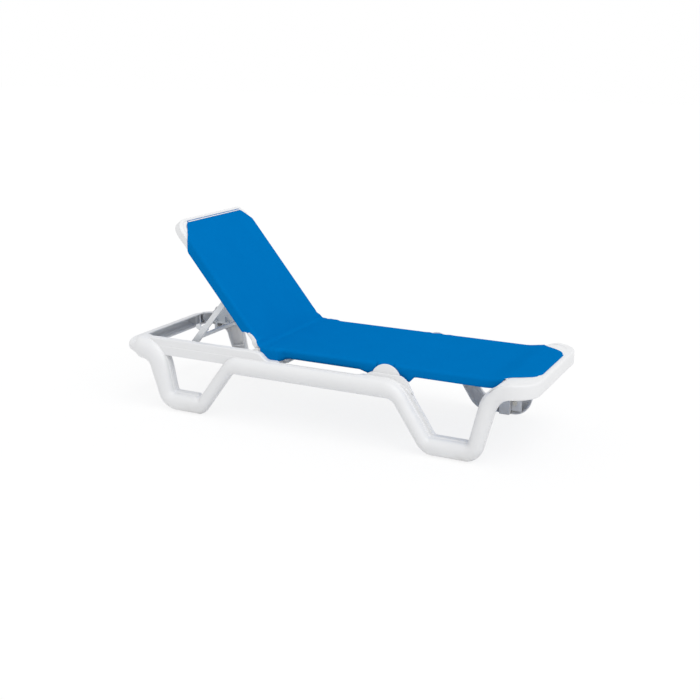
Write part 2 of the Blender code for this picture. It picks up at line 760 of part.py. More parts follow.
def leg_inserts():
    """The block and the recessed web that close each leg's foot."""
    pieces = []
    for leg, centre in LEG_CENTRES.items():
        side = LEG_SIDES[leg]
        block = sorted((centre + side * LEG_BLOCK_START, centre + side * LEG_BLOCK_END))
        web = sorted((centre + side * (LEG_BLOCK_END - WALL), centre + side * LEG_WEB_END))
        low = (block[0], near_y(BULGE_DEPTH + FLANGE_STEP), LEG_BLOCK_LOW)
        pieces.append(box(low, (block[1], near_y(FRAME_DEPTH - LEG_BLOCK_INSET), LEG_BLOCK_HEIGHT)))
        low = (web[0], near_y(LEG_WEB_DEPTH), LEG_WEB_LOW)
        pieces.append(box(low, (web[1], near_y(LEG_WEB_DEPTH + LEG_WEB_THICKNESS), LEG_WEB_TOP)))
    return pieces


def side_frame(name):
    """Wave channel and head rail in one moulding, with ribs, screw bosses and closed feet inside."""
    rows = wave_path()
    ears, plate = fixing_points()
    frame = loft(swept(rows, channel_section))
    join(frame, loft(head_rail_rings()), name + " rail")
    back = near_y(FRAME_DEPTH)
    bosses = [cylinder(BOSS_RADIUS, x, z, near_y(WALL / 2), back, BOLT_STEPS) for x, z in ears]
    start = near_y(BULGE_DEPTH + HEAD_RAIL_STEP + WALL / 2)
    bosses += [cylinder(BOSS_RADIUS, x, z, start, back, BOLT_STEPS) for x, z in plate]
    join(frame, loft(*wave_ribs(rows), *bosses, *leg_inserts()), name + " ribs", crossing=True)
    seat = box(
        (PLATE_HEAD_X - CLEARANCE, PLATE_SEAT_GAP - LIP_Y, TAB_LOW - CLEARANCE),
        (PLATE_FOOT_X, near_y(2 * FRAME_DEPTH), PLATE_TOP + CLEARANCE),
    )
    cut(frame, loft(seat), name + " plate seat")
    start, end = near_y(FRAME_DEPTH - HINGE_PIN_HEAD_HEIGHT - PIN_CLEARANCE), near_y(FRAME_DEPTH + OVERRUN)
    relief = cylinder(HINGE_PIN_HEAD_RADIUS + PIN_CLEARANCE, HINGE_X, HINGE_Z, start, end, PIN_STEPS)
    cut(frame, loft(relief), name + " pin relief")
    hole = BOLT_RADIUS + BOLT_CLEARANCE
    start, end = near_y(FRAME_DEPTH - BOLT_LENGTH), near_y(FRAME_DEPTH + OVERRUN)
    holes = [cylinder(hole, x, z, start, end, BOLT_STEPS) for x, z in ears + plate]
    cut(frame, loft(*holes), name + " holes")
    return add_part(frame, name, RESIN)


def end_bar(name, side, width, height):
    """The channel across the head or the foot end, with a tongue that plugs into each side frame."""
    start, end = SPLICE + CLEARANCE, SPLICE + BAR_SPAN - CLEARANCE
    rows = np.array([(side * place, height, 0, width) for place in (start, end)][::side])
    bar = loft(swept(rows, channel_section))
    plug_start = start + TONGUE_GAP
    plug = [(side * place, height, 0, width) for place in (plug_start, start + TONGUE_PLUG)]
    places = np.linspace(SPLICE - FRAME_TONGUE_LENGTH, plug_start, TONGUE_PIECES + 1)
    tongue = [(side * place, height, 0, width) for place in places]
    near = np.vstack((swept(tongue, tongue_section), swept(plug, rib_section)))
    join(bar, loft(near, near * MIRROR), name + " tongues")
    return add_part(bar, name, RESIN)


def tongue_section(width, ledge):
    return inner_section(width, ledge, WALL + FRAME_TONGUE_GAP, FRAME_DEPTH - TONGUE_RECESS)


def hook_outline(x):
    """A J: a wall on the head side, a round pocket for the pin, and a short lip on the foot side."""
    z, outer = RATCHET_PIN_HEIGHT, HOOK_POCKET + HOOK_WALL
    wall = [(x - HOOK_POCKET, z + HOOK_RISE), (x - outer, z + HOOK_RISE)]
    under = arc((x, z), outer, 180, 360, HOOK_STEPS)
    lip = [(x + outer, z + HOOK_LIP), (x + HOOK_POCKET, z + HOOK_LIP)]
    return np.vstack((wall, under, lip, arc((x, z), HOOK_POCKET, 360, 180, HOOK_STEPS)))


def ratchet_plate(name):
    """A plate over the head rail's channel, with a row of hooks for the bracket's pins and a tab below."""
    y = -PLATE_FACE_Y
    back = y - PLATE_THICKNESS
    plate = loft(box((PLATE_HEAD_X, back, PLATE_LOW), (PLATE_FOOT_X, y, PLATE_TOP)))
    tab_end = (TAB_X + TAB_WIDTH / 2, y - PLATE_STEP, PLATE_LOW + TAB_WIDTH)
    tab = box((TAB_X - TAB_WIDTH / 2, back, TAB_LOW), tab_end)
    join(plate, loft(tab), name + " tab")
    recess = box(
        (PLATE_HEAD_X - OVERRUN, y - PLATE_STEP, PLATE_STEP_HEIGHT),
        (PLATE_FOOT_X + OVERRUN, y + OVERRUN, PLATE_TOP + OVERRUN),
    )
    cut(plate, loft(recess), name + " recess")
    overlap = PLATE_THICKNESS / 2
    outlines = [hook_outline(RATCHET_REST_X + share * RATCHET_PITCH) for share in RATCHET_HOOKS_SHARES]
    hooks = upright(flat_curve(outlines, HOOK_REACH + overlap), y + (HOOK_REACH - overlap) / 2)
    join(plate, as_mesh(hooks), name + " hooks")
    hole = BOLT_RADIUS + BOLT_CLEARANCE
    holes = [cylinder(hole, x, z, back - OVERRUN, y + OVERRUN, BOLT_STEPS) for x, z in fixing_points()[1]]
    cut(plate, loft(*holes), name + " holes")
    return add_part(plate, name, RESIN_GREY)


def bolt(name, x, z, inner_face):
    """A round-headed bolt put in from the inside of the frame."""
    profile = [
        (0, BOLT_HEAD_HEIGHT),
        (BOLT_HEAD_RADIUS * BOLT_CROWN_SHARE, BOLT_HEAD_HEIGHT),
        (BOLT_HEAD_RADIUS, BOLT_HEAD_HEIGHT / 2),
        (BOLT_HEAD_RADIUS, 0),
        (BOLT_RADIUS, 0),
        (BOLT_RADIUS, -BOLT_SHANK),
        (0, -BOLT_SHANK),
    ]
    head = point_inwards(turned(profile, BOLT_STEPS), x, CLEARANCE - inner_face, z)
    return add_part(head, name, METAL)


def circle(x, z, radius, steps):
    return arc((x, z), radius, 0, 360 - 360 / steps, steps - 1)


def ear(name, x, boss_x, boss_half, pin=False):
    """A round-topped plate on the side frame, with a boss against the seat rail."""
    dip = math.degrees(math.asin((EAR_LOW - EAR_Z) / EAR_RADIUS))
    outline = arc((x, EAR_Z), EAR_RADIUS, dip, 180 - dip, EAR_STEPS)
    plate = as_mesh(upright(flat_curve([outline], EAR_THICKNESS, EAR_EDGE), -EAR_Y))
    inner_face = EAR_Y - EAR_THICKNESS / 2
    start, end = PANEL_RAIL_OUTER + CLEARANCE, inner_face + EAR_EDGE
    boss = flat_curve([rounded_outline(2 * boss_half, EAR_BOSS_HEIGHT, EAR_BOSS_ROUND)], end - start)
    boss.rotation_euler = (math.pi / 2, 0, 0)
    boss.location = (boss_x, -(start + end) / 2, PANEL_RAIL_Z)
    join(plate, as_mesh(boss), name + " boss")
    hole = BOLT_RADIUS + BOLT_CLEARANCE
    reach = (OVERRUN - HALF_WIDTH, OVERRUN - inner_face)
    holes = [cylinder(hole, x + shift, EAR_BOLT_Z, *reach, BOLT_STEPS) for shift in EAR_BOLT_SHIFTS]
    if pin:
        holes.append(cylinder(HINGE_PIN_RADIUS + PIN_CLEARANCE, HINGE_X, HINGE_Z, *reach, PIN_STEPS))
    cut(plate, loft(*holes), name + " holes")
    return add_part(plate, name, RESIN)


def hinge_pin(name):
    """The pin through the hinge ear and the back rail, with its head outside the ear."""
    outer_face = EAR_Y + EAR_THICKNESS / 2 + CLEARANCE
    length = outer_face - PANEL_RAIL_INNER + OVERRUN / 2
    profile = [
        (0, length),
        (HINGE_PIN_RADIUS, length),
        (HINGE_PIN_RADIUS, 0),
        (HINGE_PIN_HEAD_RADIUS, 0),
        (HINGE_PIN_HEAD_RADIUS, -HINGE_PIN_HEAD_HEIGHT),
        (0, -HINGE_PIN_HEAD_HEIGHT),
    ]
    pin = point_inwards(turned(profile, PIN_STEPS), HINGE_X, -outer_face, HINGE_Z)
    return add_part(pin, name, METAL)


def leg_plug(name, x):
    """The round plug on the web inside a leg's foot."""
    profile = [
        (0, LEG_PLUG_DEPTH),
        (LEG_PLUG_RADIUS * BOLT_CROWN_SHARE, LEG_PLUG_DEPTH),
        (LEG_PLUG_RADIUS, LEG_PLUG_DEPTH / 2),
        (LEG_PLUG_RADIUS, 0),
        (0, 0),
    ]
    face = near_y(LEG_WEB_DEPTH + LEG_WEB_THICKNESS) + CLEARANCE
    return add_part(point_inwards(turned(profile, PIN_STEPS), x, face, LEG_PLUG_HEIGHT), name, PLUG)


def hollow_bar(width, height, corner, wall, length):
    """A tube with round corners, drawn as an outline with its bore inside it."""
    inner = rounded_outline(width - 2 * wall, height - 2 * wall, max(corner - wall, wall / 2))
    return flat_curve([rounded_outline(width, height, corner), inner], length)


def side_rail(start, end, z):
    """A panel's near side rail between two places along X."""
    bar = hollow_bar(PANEL_RAIL_WIDTH, PANEL_RAIL_HEIGHT, PANEL_RAIL_ROUND, PANEL_RAIL_WALL, end - start)
    return tube_along_x(bar, start, end, -PANEL_RAIL_Y, z)


def cross_bar(name, x, z, size, half_length, material, parent=None):
    """A hollow bar across the middle."""
    width, height = size
    bar = hollow_bar(width, height, CROSS_BAR_ROUND, CROSS_BAR_WALL, 2 * half_length)
    return add_part(tube_along_y(bar, x, z), name, material, parent)


def sling_ring(x, drop):
    """The sling's section at one place: flat across the top, and round the outside of both rails."""
    y, low = PANEL_RAIL_OUTER - PANEL_RAIL_ROUND, PANEL_RAIL_LOW + PANEL_RAIL_ROUND
    high = PANEL_RAIL_TOP - PANEL_RAIL_ROUND
    halves = []
    for gap in (CLEARANCE, CLEARANCE + SLING_THICKNESS):
        radius = PANEL_RAIL_ROUND + gap
        halves.append(np.vstack((arc((y, low), radius, -SLING_TUCK, 0, 2), arc((y, high), radius, 0, 90, 4))))
    inner, outer = halves
    across = np.array((-1, 1))
    ring = np.vstack((outer, outer[::-1] * across, inner * across, inner[::-1]))
    return np.column_stack((np.full(len(ring), x), ring[:, 0], ring[:, 1] - drop))


def prism(outline, low, high):
    """The two rings of a flat plan outline between two heights."""
    return np.array([[(x, y, z) for x, y in outline] for z in (low, high)])


def sling(start, end, drop, lip_x, lip_half):
    """A stretched sling with its sides rolled over the rails and a hem lip over the end bar."""
    cloth = loft(np.array([sling_ring(start, drop), sling_ring(end, drop)]))
    top = SEAT_HEIGHT - drop
    lip = box(
        (min(lip_x, end), -lip_half, top - SLING_LIP),
        (max(lip_x, end), lip_half, top),
    )
    join(cloth, loft(lip), "hem lip")
    return cloth


def both_sides(outline):
    """An outline on the near side and its mirror image."""
    return [np.array(outline), np.array(outline) * (1, -1)]


def seat_cuts():
    """What is cut from the seat sling: foot corners, side rolls beside the ears, hem in the hinge's way."""
    foot, half, out = SEAT_SLING_FOOT_X, PANEL_HALF_WIDTH, PANEL_HALF_WIDTH + OVERRUN
    corner = [
        (foot - SEAT_CUT_LONG - SEAT_CUT_SIDE, -out),
        (foot - SEAT_CUT_LONG, SEAT_CUT_SIDE - half),
        (foot - SEAT_CUT_SHORT, SEAT_CUT_MIDDLE - half),
        (foot + OVERRUN, SEAT_CUT_FOOT - half),
        (foot + OVERRUN, -out),
    ]
    pieces = [prism(outline, 0, 2 * SEAT_HEIGHT) for outline in both_sides(corner)]
    spans = (
        (MID_EAR_X - EAR_BOSS_HALF - EAR_CUT_MARGIN, MID_EAR_X + EAR_BOSS_HALF + EAR_CUT_MARGIN),
        (HINGE_X - OVERRUN, HINGE_X + HINGE_BOSS_OFFSET + HINGE_BOSS_HALF + EAR_CUT_MARGIN),
    )
    inside = PANEL_RAIL_OUTER - SLING_THICKNESS
    for start, end in spans:
        outline = [(start, -out), (end, -out), (end, -inside), (start, -inside)]
        pieces += [prism(each, 0, SEAT_HEIGHT - EAR_CUT_TOP) for each in both_sides(outline)]
    start, end, inside = HINGE_X - OVERRUN, HINGE_X + RAIL_HINGE_GAP, PANEL_RAIL_INNER - SLING_LIP - OVERRUN
    outline = [(start, -out), (end, -out), (end, -inside), (start, -inside)]
    return pieces + [prism(each, 0, PANEL_RAIL_Z) for each in both_sides(outline)]


def back_cuts():
    """What is cut from the back sling, in the frame of the hinge: head corners and hinge cut-outs."""
    top, half, out = BACK_SLING_TOP, PANEL_HALF_WIDTH, PANEL_HALF_WIDTH + OVERRUN
    corner = [
        (BACK_CUT_LONG - top, -out),
        (BACK_CUT_LONG - top, -half),
        (BACK_CUT_MIDDLE_LONG - top, BACK_CUT_MIDDLE_SIDE - half),
        (-top - OVERRUN, BACK_CUT_SIDE - half - BACK_CUT_MIDDLE_SIDE),
        (-top - OVERRUN, -out),
    ]
    pieces = [prism(outline, -SEAT_HEIGHT, SEAT_HEIGHT) for outline in both_sides(corner)]
    inside = PANEL_RAIL_OUTER - SLING_THICKNESS
    outline = [(OVERRUN, -out), (-BACK_HINGE_CUT, -out), (-BACK_HINGE_CUT, -inside), (OVERRUN, -inside)]
    pieces += [prism(each, -SEAT_HEIGHT, HINGE_DROP - EAR_CUT_TOP) for each in both_sides(outline)]
    end, inside = CLEARANCE - BOW_LEG_START, BOW_HALF_WIDTH - BOW_WIDTH - OVERRUN
    outline = [(-top, -out), (end, -out), (end, -inside), (-top, -inside)]
    return pieces + [prism(each, -SEAT_HEIGHT, BOW_TOP + CLEARANCE / 2) for each in both_sides(outline)]


def bow_path():
    """Plan points down one leg of the bow and round its corner, with the direction of the tube at each."""
    centre = (BOW_CORNER_RADIUS - BACK_LENGTH, BOW_CORNER_RADIUS - BOW_HALF_WIDTH)
    radius = BOW_CORNER_RADIUS - BOW_WIDTH / 2
    angles = np.radians(np.linspace(270, 180, BOW_STEPS + 1))
    rows = [(-BOW_LEG_START, centre[1] - radius, math.radians(270))]
    rows += [(centre[0] + radius * math.cos(a), centre[1] + radius * math.sin(a), a) for a in angles]
    return rows


def along_bow(rows, section):
    """Rings of a (across, up) section carried along the bow, across pointing to its outside."""
    rings = []
    for x, y, angle in rows:
        across, up = section.T
        rings.append(np.column_stack((x + across * math.cos(angle), y + across * math.sin(angle), up)))
    return np.array(rings)


def back_corner(name, parent):
    """A corner of the back's bow, hollow from behind, with tongues into the side rail and the top bar."""
    rows = bow_path()
    middle = BOW_TOP - BACK_THICKNESS / 2
    outer = rounded_outline(BOW_WIDTH, BACK_THICKNESS, BOW_ROUND) + (0, middle)
    corner = loft(along_bow(rows, outer))
    low, high = BOW_TOP - BACK_THICKNESS - OVERRUN, BOW_TOP - BOW_WALL
    half = BOW_WIDTH / 2 - BOW_WALL
    hollow = np.array([(-half, low), (half, low), (half, high), (-half, high)])
    inside = [(rows[0][0] - OVERRUN, *rows[0][1:])] + rows[1:-1]
    cut(corner, loft(along_bow(inside, hollow)), name + " hollow")
    cutter = CUTTERS.objects[-1]
    cutter.parent = parent
    rail_z = PANEL_RAIL_Z - HINGE_Z
    gap = PANEL_RAIL_WALL + TONGUE_GAP
    size = (PANEL_RAIL_WIDTH - 2 * gap, PANEL_RAIL_HEIGHT - 2 * gap)
    section = rounded_outline(*size, PANEL_RAIL_ROUND - gap) + (0, rail_z)
    tongue = [(np.column_stack((np.full(len(section), x), section[:, 0] - PANEL_RAIL_Y, section[:, 1])))
              for x in (TONGUE_LENGTH - BOW_LEG_START, -BOW_LEG_START - OVERRUN / 2)]
    bar_gap = BOW_WALL + TONGUE_GAP
    size = (BOW_WIDTH - 2 * bar_gap, BACK_THICKNESS - 2 * bar_gap)
    section = rounded_outline(*size, BOW_ROUND - bar_gap) + (rows[-1][0], middle)
    end = rows[-1][1]
    bar_tongue = [np.column_stack((section[:, 0], np.full(len(section), y), section[:, 1]))
                  for y in (end - BOW_WALL * 2, end + TONGUE_LENGTH)]
    join(corner, loft(np.array(tongue), np.array(bar_tongue)), name + " tongues")
    CUTTERS.objects[-1].parent = parent
    return add_part(corner, name, RESIN, parent)


def lug(name, parent):
    """The ear under a back rail that carries one arm of the bracket."""
    x, z = -SUPPORT_PIVOT_U, SUPPORT_PIVOT_N
    under = PANEL_RAIL_LOW - HINGE_Z - CLEARANCE
    top = [(x + LUG_RADIUS, under), (x - LUG_RADIUS, under)]
    outline = np.vstack((arc((x, z), LUG_RADIUS, 180, 360, LUG_STEPS), top))
    hole = circle(x, z, PIVOT_RADIUS + BOLT_CLEARANCE, PIN_STEPS)
    return add_part(upright(flat_curve([outline, hole], LUG_THICKNESS), -LUG_Y), name, RESIN_GREY, parent)


def pivot_pin(name, parent):
    """The pin through an arm and its lug, headed at both ends."""
    start = ARM_Y - ARM_THICKNESS / 2 - CLEARANCE
    end = LUG_Y + LUG_THICKNESS / 2 + CLEARANCE
    length = end - start
    profile = [
        (0, PIVOT_HEAD_HEIGHT),
        (PIVOT_HEAD_RADIUS, PIVOT_HEAD_HEIGHT),
        (PIVOT_HEAD_RADIUS, 0),
        (PIVOT_RADIUS, 0),
        (PIVOT_RADIUS, -length),
        (PIVOT_PEEN_RADIUS, -length),
        (PIVOT_PEEN_RADIUS, -length - PIVOT_PEEN_HEIGHT),
        (0, -length - PIVOT_PEEN_HEIGHT),
    ]
    pin = point_inwards(turned(profile, PIN_STEPS), -SUPPORT_PIVOT_U, -start, SUPPORT_PIVOT_N)
    return add_part(pin, name, METAL, parent)


def support_arm(name, parent):
    """The flat bar from the lug down into its shoe, round at the pivot."""
    half, end = ARM_WIDTH / 2, SHOE_LENGTH - ARM_SOCKET - ARM_LENGTH
    outline = np.vstack((arc((0, 0), half, 90, -90, LUG_STEPS), [(end, -half), (end, half)]))
    hole = circle(0, 0, PIVOT_RADIUS + BOLT_CLEARANCE, PIN_STEPS)
    return add_part(upright(flat_curve([outline, hole], ARM_THICKNESS), -ARM_Y), name, COATED, parent)


def support_shoe(name, parent):
    """The socket at an arm's lower end, bored for the ratchet pin, with a round knob on its head side."""
    start, end = -ARM_LENGTH - SHOE_END, SHOE_LENGTH - ARM_LENGTH
    wall = (SHOE_WIDTH - ARM_WIDTH) / 2 - CLEARANCE
    outer = rounded_outline(SHOE_THICKNESS, SHOE_WIDTH, SHOE_ROUND)
    bore = rounded_outline(ARM_THICKNESS + 2 * CLEARANCE, ARM_WIDTH + 2 * CLEARANCE, 2 * CLEARANCE)
    shoe = as_mesh(tube_along_x(flat_curve([outer, bore], end - start), start, end, -ARM_Y, 0))
    x = KNOB_ALONG - ARM_LENGTH
    neck = SHOE_WIDTH / 2 - wall / 2
    round_part = arc((x, KNOB_RISE), KNOB_RADIUS, -KNOB_WRAP, 180 + KNOB_WRAP, PIN_STEPS)
    knob = np.vstack((round_part, [(x - KNOB_NECK, neck), (x + KNOB_NECK, neck)]))
    join(shoe, as_mesh(upright(flat_curve([knob], KNOB_THICKNESS, KNOB_EDGE), -ARM_Y)), name + " knob")
    CUTTERS.objects[-1].parent = parent
    reach = (-ARM_Y - SHOE_THICKNESS, SHOE_THICKNESS - ARM_Y)
    bore = cylinder(SUPPORT_PIN_RADIUS + CLEARANCE, -ARM_LENGTH, 0, *reach, PIN_STEPS)
    cut(shoe, loft(bore), name + " bore")
    CUTTERS.objects[-1].parent = parent
    return add_part(shoe, name, COATED, parent)


def ratchet_pin(name, parent):
    """The pin through a shoe that drops into the hooks, headed on the inside."""
    length = PIN_TIP_Y - SHOE_INNER_Y + CLEARANCE
    profile = [
        (0, PIVOT_HEAD_HEIGHT),
        (SUPPORT_PIN_HEAD, PIVOT_HEAD_HEIGHT),
        (SUPPORT_PIN_HEAD, 0),
        (SUPPORT_PIN_RADIUS, 0),
        (SUPPORT_PIN_RADIUS, -length),
        (0, -length),
    ]
    pin = point_inwards(turned(profile, PIN_STEPS), -ARM_LENGTH, CLEARANCE - SHOE_INNER_Y, 0)
    return add_part(pin, name, METAL, parent)


def support_strip(name, along, half_length, parent):
    """A flat strip between the arms, on their foot side."""
    bar = flat_curve([rounded_outline(STRIP_WIDTH, STRIP_THICKNESS, STRIP_ROUND)], 2 * half_length)
    return add_part(tube_along_y(bar, along - ARM_LENGTH, -STRIP_DROP), name, COATED, parent)


def pivot_empty(name, x, z, angle, parent=None):
    """An empty on a joint's axis, turned about Y."""
    empty = bpy.data.objects.new(name, None)
    empty.location = (x, 0, z)
    empty.rotation_euler = (0, angle, 0)
    empty.parent = parent
    PARTS.objects.link(empty)
    return empty


def build_base():
    """Everything that stands still: frames, bars, seat, ears, ratchet plates and their fasteners."""
    far_copy(side_frame("side_frame_near"))
    end_bar("head_bar", -1, HEAD_BAR_WIDTH, HEAD_BAR_HEIGHT)
    end_bar("foot_bar", 1, FOOT_BAR_WIDTH, FOOT_BAR_HEIGHT)
    far_copy(ratchet_plate("ratchet_plate_near"))
    ears, plate = fixing_points()
    inner_face = EAR_Y - EAR_THICKNESS / 2
    for place, (x, z) in zip(EAR_BOLT_NAMES, ears):
        far_copy(bolt(place + "_bolt_near", x, z, inner_face))
    for place, (x, z) in zip(PLATE_SCREW_NAMES, plate):
        far_copy(bolt(place + "_screw_near", x, z, PLATE_FACE_Y + PLATE_STEP))
    far_copy(ear("hinge_ear_near", HINGE_X, HINGE_X + HINGE_BOSS_OFFSET, HINGE_BOSS_HALF, pin=True))
    far_copy(ear("middle_ear_near", MID_EAR_X, MID_EAR_X, EAR_BOSS_HALF))
    far_copy(hinge_pin("hinge_pin_near"))
    for leg, centre in LEG_CENTRES.items():
        far_copy(leg_plug(leg + "_leg_plug_near", centre + LEG_SIDES[leg] * LEG_PLUG_OFFSET))
    rail_start = HINGE_X + RAIL_HINGE_GAP
    rail = add_part(side_rail(rail_start, SEAT_RAIL_FOOT_X, PANEL_RAIL_Z), "seat_rail_near", RESIN)
    far_copy(rail)
    under = PANEL_RAIL_LOW - CLEARANCE - CROSS_BAR_HEIGHT / 2
    size = (CROSS_BAR_WIDTH, CROSS_BAR_HEIGHT)
    for name, x in (("seat_hinge_bar", SEAT_HINGE_BAR_X), ("seat_middle_bar", SEAT_MID_BAR_X)):
        cross_bar(name, x, under, size, PANEL_RAIL_OUTER - SLING_THICKNESS, RESIN_GREY)
    foot_x = SEAT_RAIL_FOOT_X + CLEARANCE + SEAT_FOOT_RAIL_WIDTH / 2
    size = (SEAT_FOOT_RAIL_WIDTH, PANEL_RAIL_HEIGHT)
    cross_bar("seat_foot_bar", foot_x, PANEL_RAIL_Z, size, SEAT_FOOT_RAIL_HALF, RESIN)
    foot_lip = foot_x + SEAT_FOOT_RAIL_WIDTH / 2 + CLEARANCE
    seat = sling(HINGE_X + CREASE_SEAT_GAP, SEAT_SLING_FOOT_X, 0, foot_lip, PANEL_HALF_WIDTH - SEAT_CUT_FOOT)
    cut(seat, loft(*seat_cuts()), "seat sling cuts", crossing=True)
    add_part(seat, "sling_seat", FABRIC)


def build_back():
    """Everything that turns with the back, drawn lying flat about the hinge and turned by its empty."""
    pivot = pivot_empty("back_pivot", HINGE_X, HINGE_Z, BACK_ANGLE)
    rail_z = PANEL_RAIL_Z - HINGE_Z
    rail = as_mesh(side_rail(CLEARANCE - BOW_LEG_START, BACK_RAIL_END, rail_z))
    reach = (-PANEL_RAIL_OUTER - OVERRUN, OVERRUN - PANEL_RAIL_INNER)
    cut(rail, loft(cylinder(HINGE_PIN_RADIUS + PIN_CLEARANCE, 0, 0, *reach, PIN_STEPS)), "back rail bore")
    CUTTERS.objects[-1].parent = pivot
    far_copy(add_part(rail, "back_rail_near", RESIN, pivot))
    far_copy(back_corner("back_corner_near", pivot))
    half = BOW_HALF_WIDTH - BOW_CORNER_RADIUS - CLEARANCE
    bar = hollow_bar(BOW_WIDTH, BACK_THICKNESS, BOW_ROUND, BOW_WALL, 2 * half)
    add_part(tube_along_y(bar, BOW_WIDTH / 2 - BACK_LENGTH, BOW_TOP - BACK_THICKNESS / 2), "back_top_bar", RESIN, pivot)
    size = (BACK_BAR_WIDTH, BACK_BAR_HEIGHT)
    for name, u in (("back_low_bar", BACK_LOW_BAR_U), ("back_middle_bar", BACK_MID_BAR_U)):
        cross_bar(name, -u, rail_z, size, PANEL_RAIL_INNER - CLEARANCE, RESIN_GREY, pivot)
    far_copy(lug("support_lug_near", pivot))
    far_copy(pivot_pin("support_pivot_near", pivot))
    cloth = sling(-CREASE_BACK_GAP, -BACK_SLING_TOP, HINGE_Z, -BACK_SLING_TOP + SLING_THICKNESS, BACK_LIP_HALF)
    CUTTERS.objects[-1].parent = pivot
    cut(cloth, loft(*back_cuts()), "back sling cuts", crossing=True)
    CUTTERS.objects[-1].parent = pivot
    add_part(cloth, "sling_back", FABRIC, pivot)
    return pivot


def build_support(back):
    """The bracket that props the back, drawn along -X from its pivots."""
    pivot = pivot_empty("support_pivot", -SUPPORT_PIVOT_U, SUPPORT_PIVOT_N, -BACK_ANGLE - ARM_SLOPE, back)
    far_copy(support_arm("support_arm_near", pivot))
    far_copy(support_shoe("support_shoe_near", pivot))
    far_copy(ratchet_pin("ratchet_pin_near", pivot))
    support_strip("support_low_strip", LOW_STRIP_ALONG, SHOE_INNER_Y - CLEARANCE, pivot)
    support_strip("support_high_strip", HIGH_STRIP_ALONG, ARM_Y - ARM_THICKNESS / 2 - CLEARANCE, pivot)


build_base()
build_support(build_back())
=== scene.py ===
"""The dressed model of the sling chaise lounge.

Moulded side frames, a stretched woven sling, and the bracket that props the back. Every shape is a profile
carried along a path or a grid over two parameters, in the frame of the CAD: metres, +X to the foot end, +Y to
the far side, +Z up.
"""

import math

import bmesh
import bpy
import numpy as np
from mathutils import Matrix, Vector


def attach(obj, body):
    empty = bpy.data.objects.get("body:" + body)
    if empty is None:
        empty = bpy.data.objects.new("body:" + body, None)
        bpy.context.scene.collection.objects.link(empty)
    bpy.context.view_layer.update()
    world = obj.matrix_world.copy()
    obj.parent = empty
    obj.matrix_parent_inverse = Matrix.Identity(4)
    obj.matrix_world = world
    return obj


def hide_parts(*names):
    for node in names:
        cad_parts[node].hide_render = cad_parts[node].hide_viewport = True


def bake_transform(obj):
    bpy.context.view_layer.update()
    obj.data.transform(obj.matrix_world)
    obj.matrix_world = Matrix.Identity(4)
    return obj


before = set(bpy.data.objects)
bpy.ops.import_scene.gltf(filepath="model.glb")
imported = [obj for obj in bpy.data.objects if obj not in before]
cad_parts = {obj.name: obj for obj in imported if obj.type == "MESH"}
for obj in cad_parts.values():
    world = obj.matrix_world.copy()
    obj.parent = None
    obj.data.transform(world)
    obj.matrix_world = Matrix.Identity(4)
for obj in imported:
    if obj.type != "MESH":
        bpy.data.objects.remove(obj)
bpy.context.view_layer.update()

# The chair as a whole, and how high its stretched seat lies
LENGTH, WIDTH, CORNER_RADIUS, SEAT_HEIGHT = 1.93, 0.71, 0.12, 0.344
HALF_LENGTH, HALF_WIDTH = LENGTH / 2, WIDTH / 2
FLIP = np.array((1.0, -1.0, 1.0))

# The moulded channel: its width, how deep its flanges reach, how far its face bulges, the step beside the
# face, its wall, half the thickness of a rib in it, and half the gap where two mouldings meet
TUBE, DEPTH, BULGE, STEP, WALL = 0.083, 0.062, 0.030, 0.004, 0.005
HALF_RIB, SEAM = 0.0015, 0.0003
CORNER_START = HALF_LENGTH - CORNER_RADIUS
SPLICE = CORNER_START + CORNER_RADIUS * math.pi / 2
LIP_Y = HALF_WIDTH - DEPTH

# The channel across the head and the foot end: its width, the height of its ridge and of its middle
HEAD_BAR, FOOT_BAR = 0.055, 0.062
HEAD_RIDGE, FOOT_RIDGE = 0.300, 0.350
HEAD_MIDDLE, FOOT_MIDDLE = HEAD_RIDGE - HEAD_BAR / 2, FOOT_RIDGE - FOOT_BAR / 2

# Bends of the wave: place by half the length, height by the seat's, or None where it stands on the floor, and
# the fillet and the channel's width before and after it by TUBE
BEND_SHARES = (
    (-0.938, 0.779, 1.20, 0.66, 0.72),
    (-0.811, 0.814, 1.14, 1.30, 1.20),
    (-0.7425, None, 0.69, 1.048, 1.048),
    (-0.5596, None, 0.60, 1.048, 0.77),
    (-0.4031, 0.731, 0.84, 0.77, 1.0),
    (0.4031, 0.731, 1.08, 1.0, 0.84),
    (0.5472, None, 0.66, 0.84, 1.0),
    (0.7565, None, 0.60, 1.0, 0.84),
)
FOOT_BEND, FOOT_FILLET, FOOT_BEFORE = 0.827, 1.38, 0.87
# Where ribs stand across the side frame, by half the length, and across the end bars, from their near ends
RIB_SHARES = (-0.86, -0.77, -0.70, -0.60, -0.49, -0.16, 0.0, 0.16, 0.49, 0.60, 0.71, 0.79, 0.93)
HEAD_BAR_RIBS, FOOT_BAR_RIBS = (0.435,), (0.035, 0.155, 0.235, 0.315, 0.435)
# Stretches of the side frame: its two legs, and the rail between them
LEGS, MIDDLE_RAIL = ((-0.875, -0.37), (0.37, 0.90)), (-0.17, 0.235)

# The straight head rail: its underside, its plain top, and its top by place where it rises and falls
RAIL_LOW, RAIL_HIGH = 0.251, 0.325
RAIL_TOPS = (
    (-0.984, HEAD_RIDGE), (-0.900, HEAD_RIDGE), (-0.865, 0.317), (-0.800, RAIL_HIGH), (-0.270, RAIL_HIGH),
    (-0.242, 0.3197), (-0.2280, 0.3044), (-0.2135, 0.2945), (-0.195, 0.2905),
)

# The legs' feet with the side each web leans to, and how far beyond its middle and how high the plug sits
LEG_FEET = (("foot_leg", 0.629, 1), ("head_leg", -0.6283, -1))
PLUG_SHIFT, PLUG_Z = 0.068, 0.055
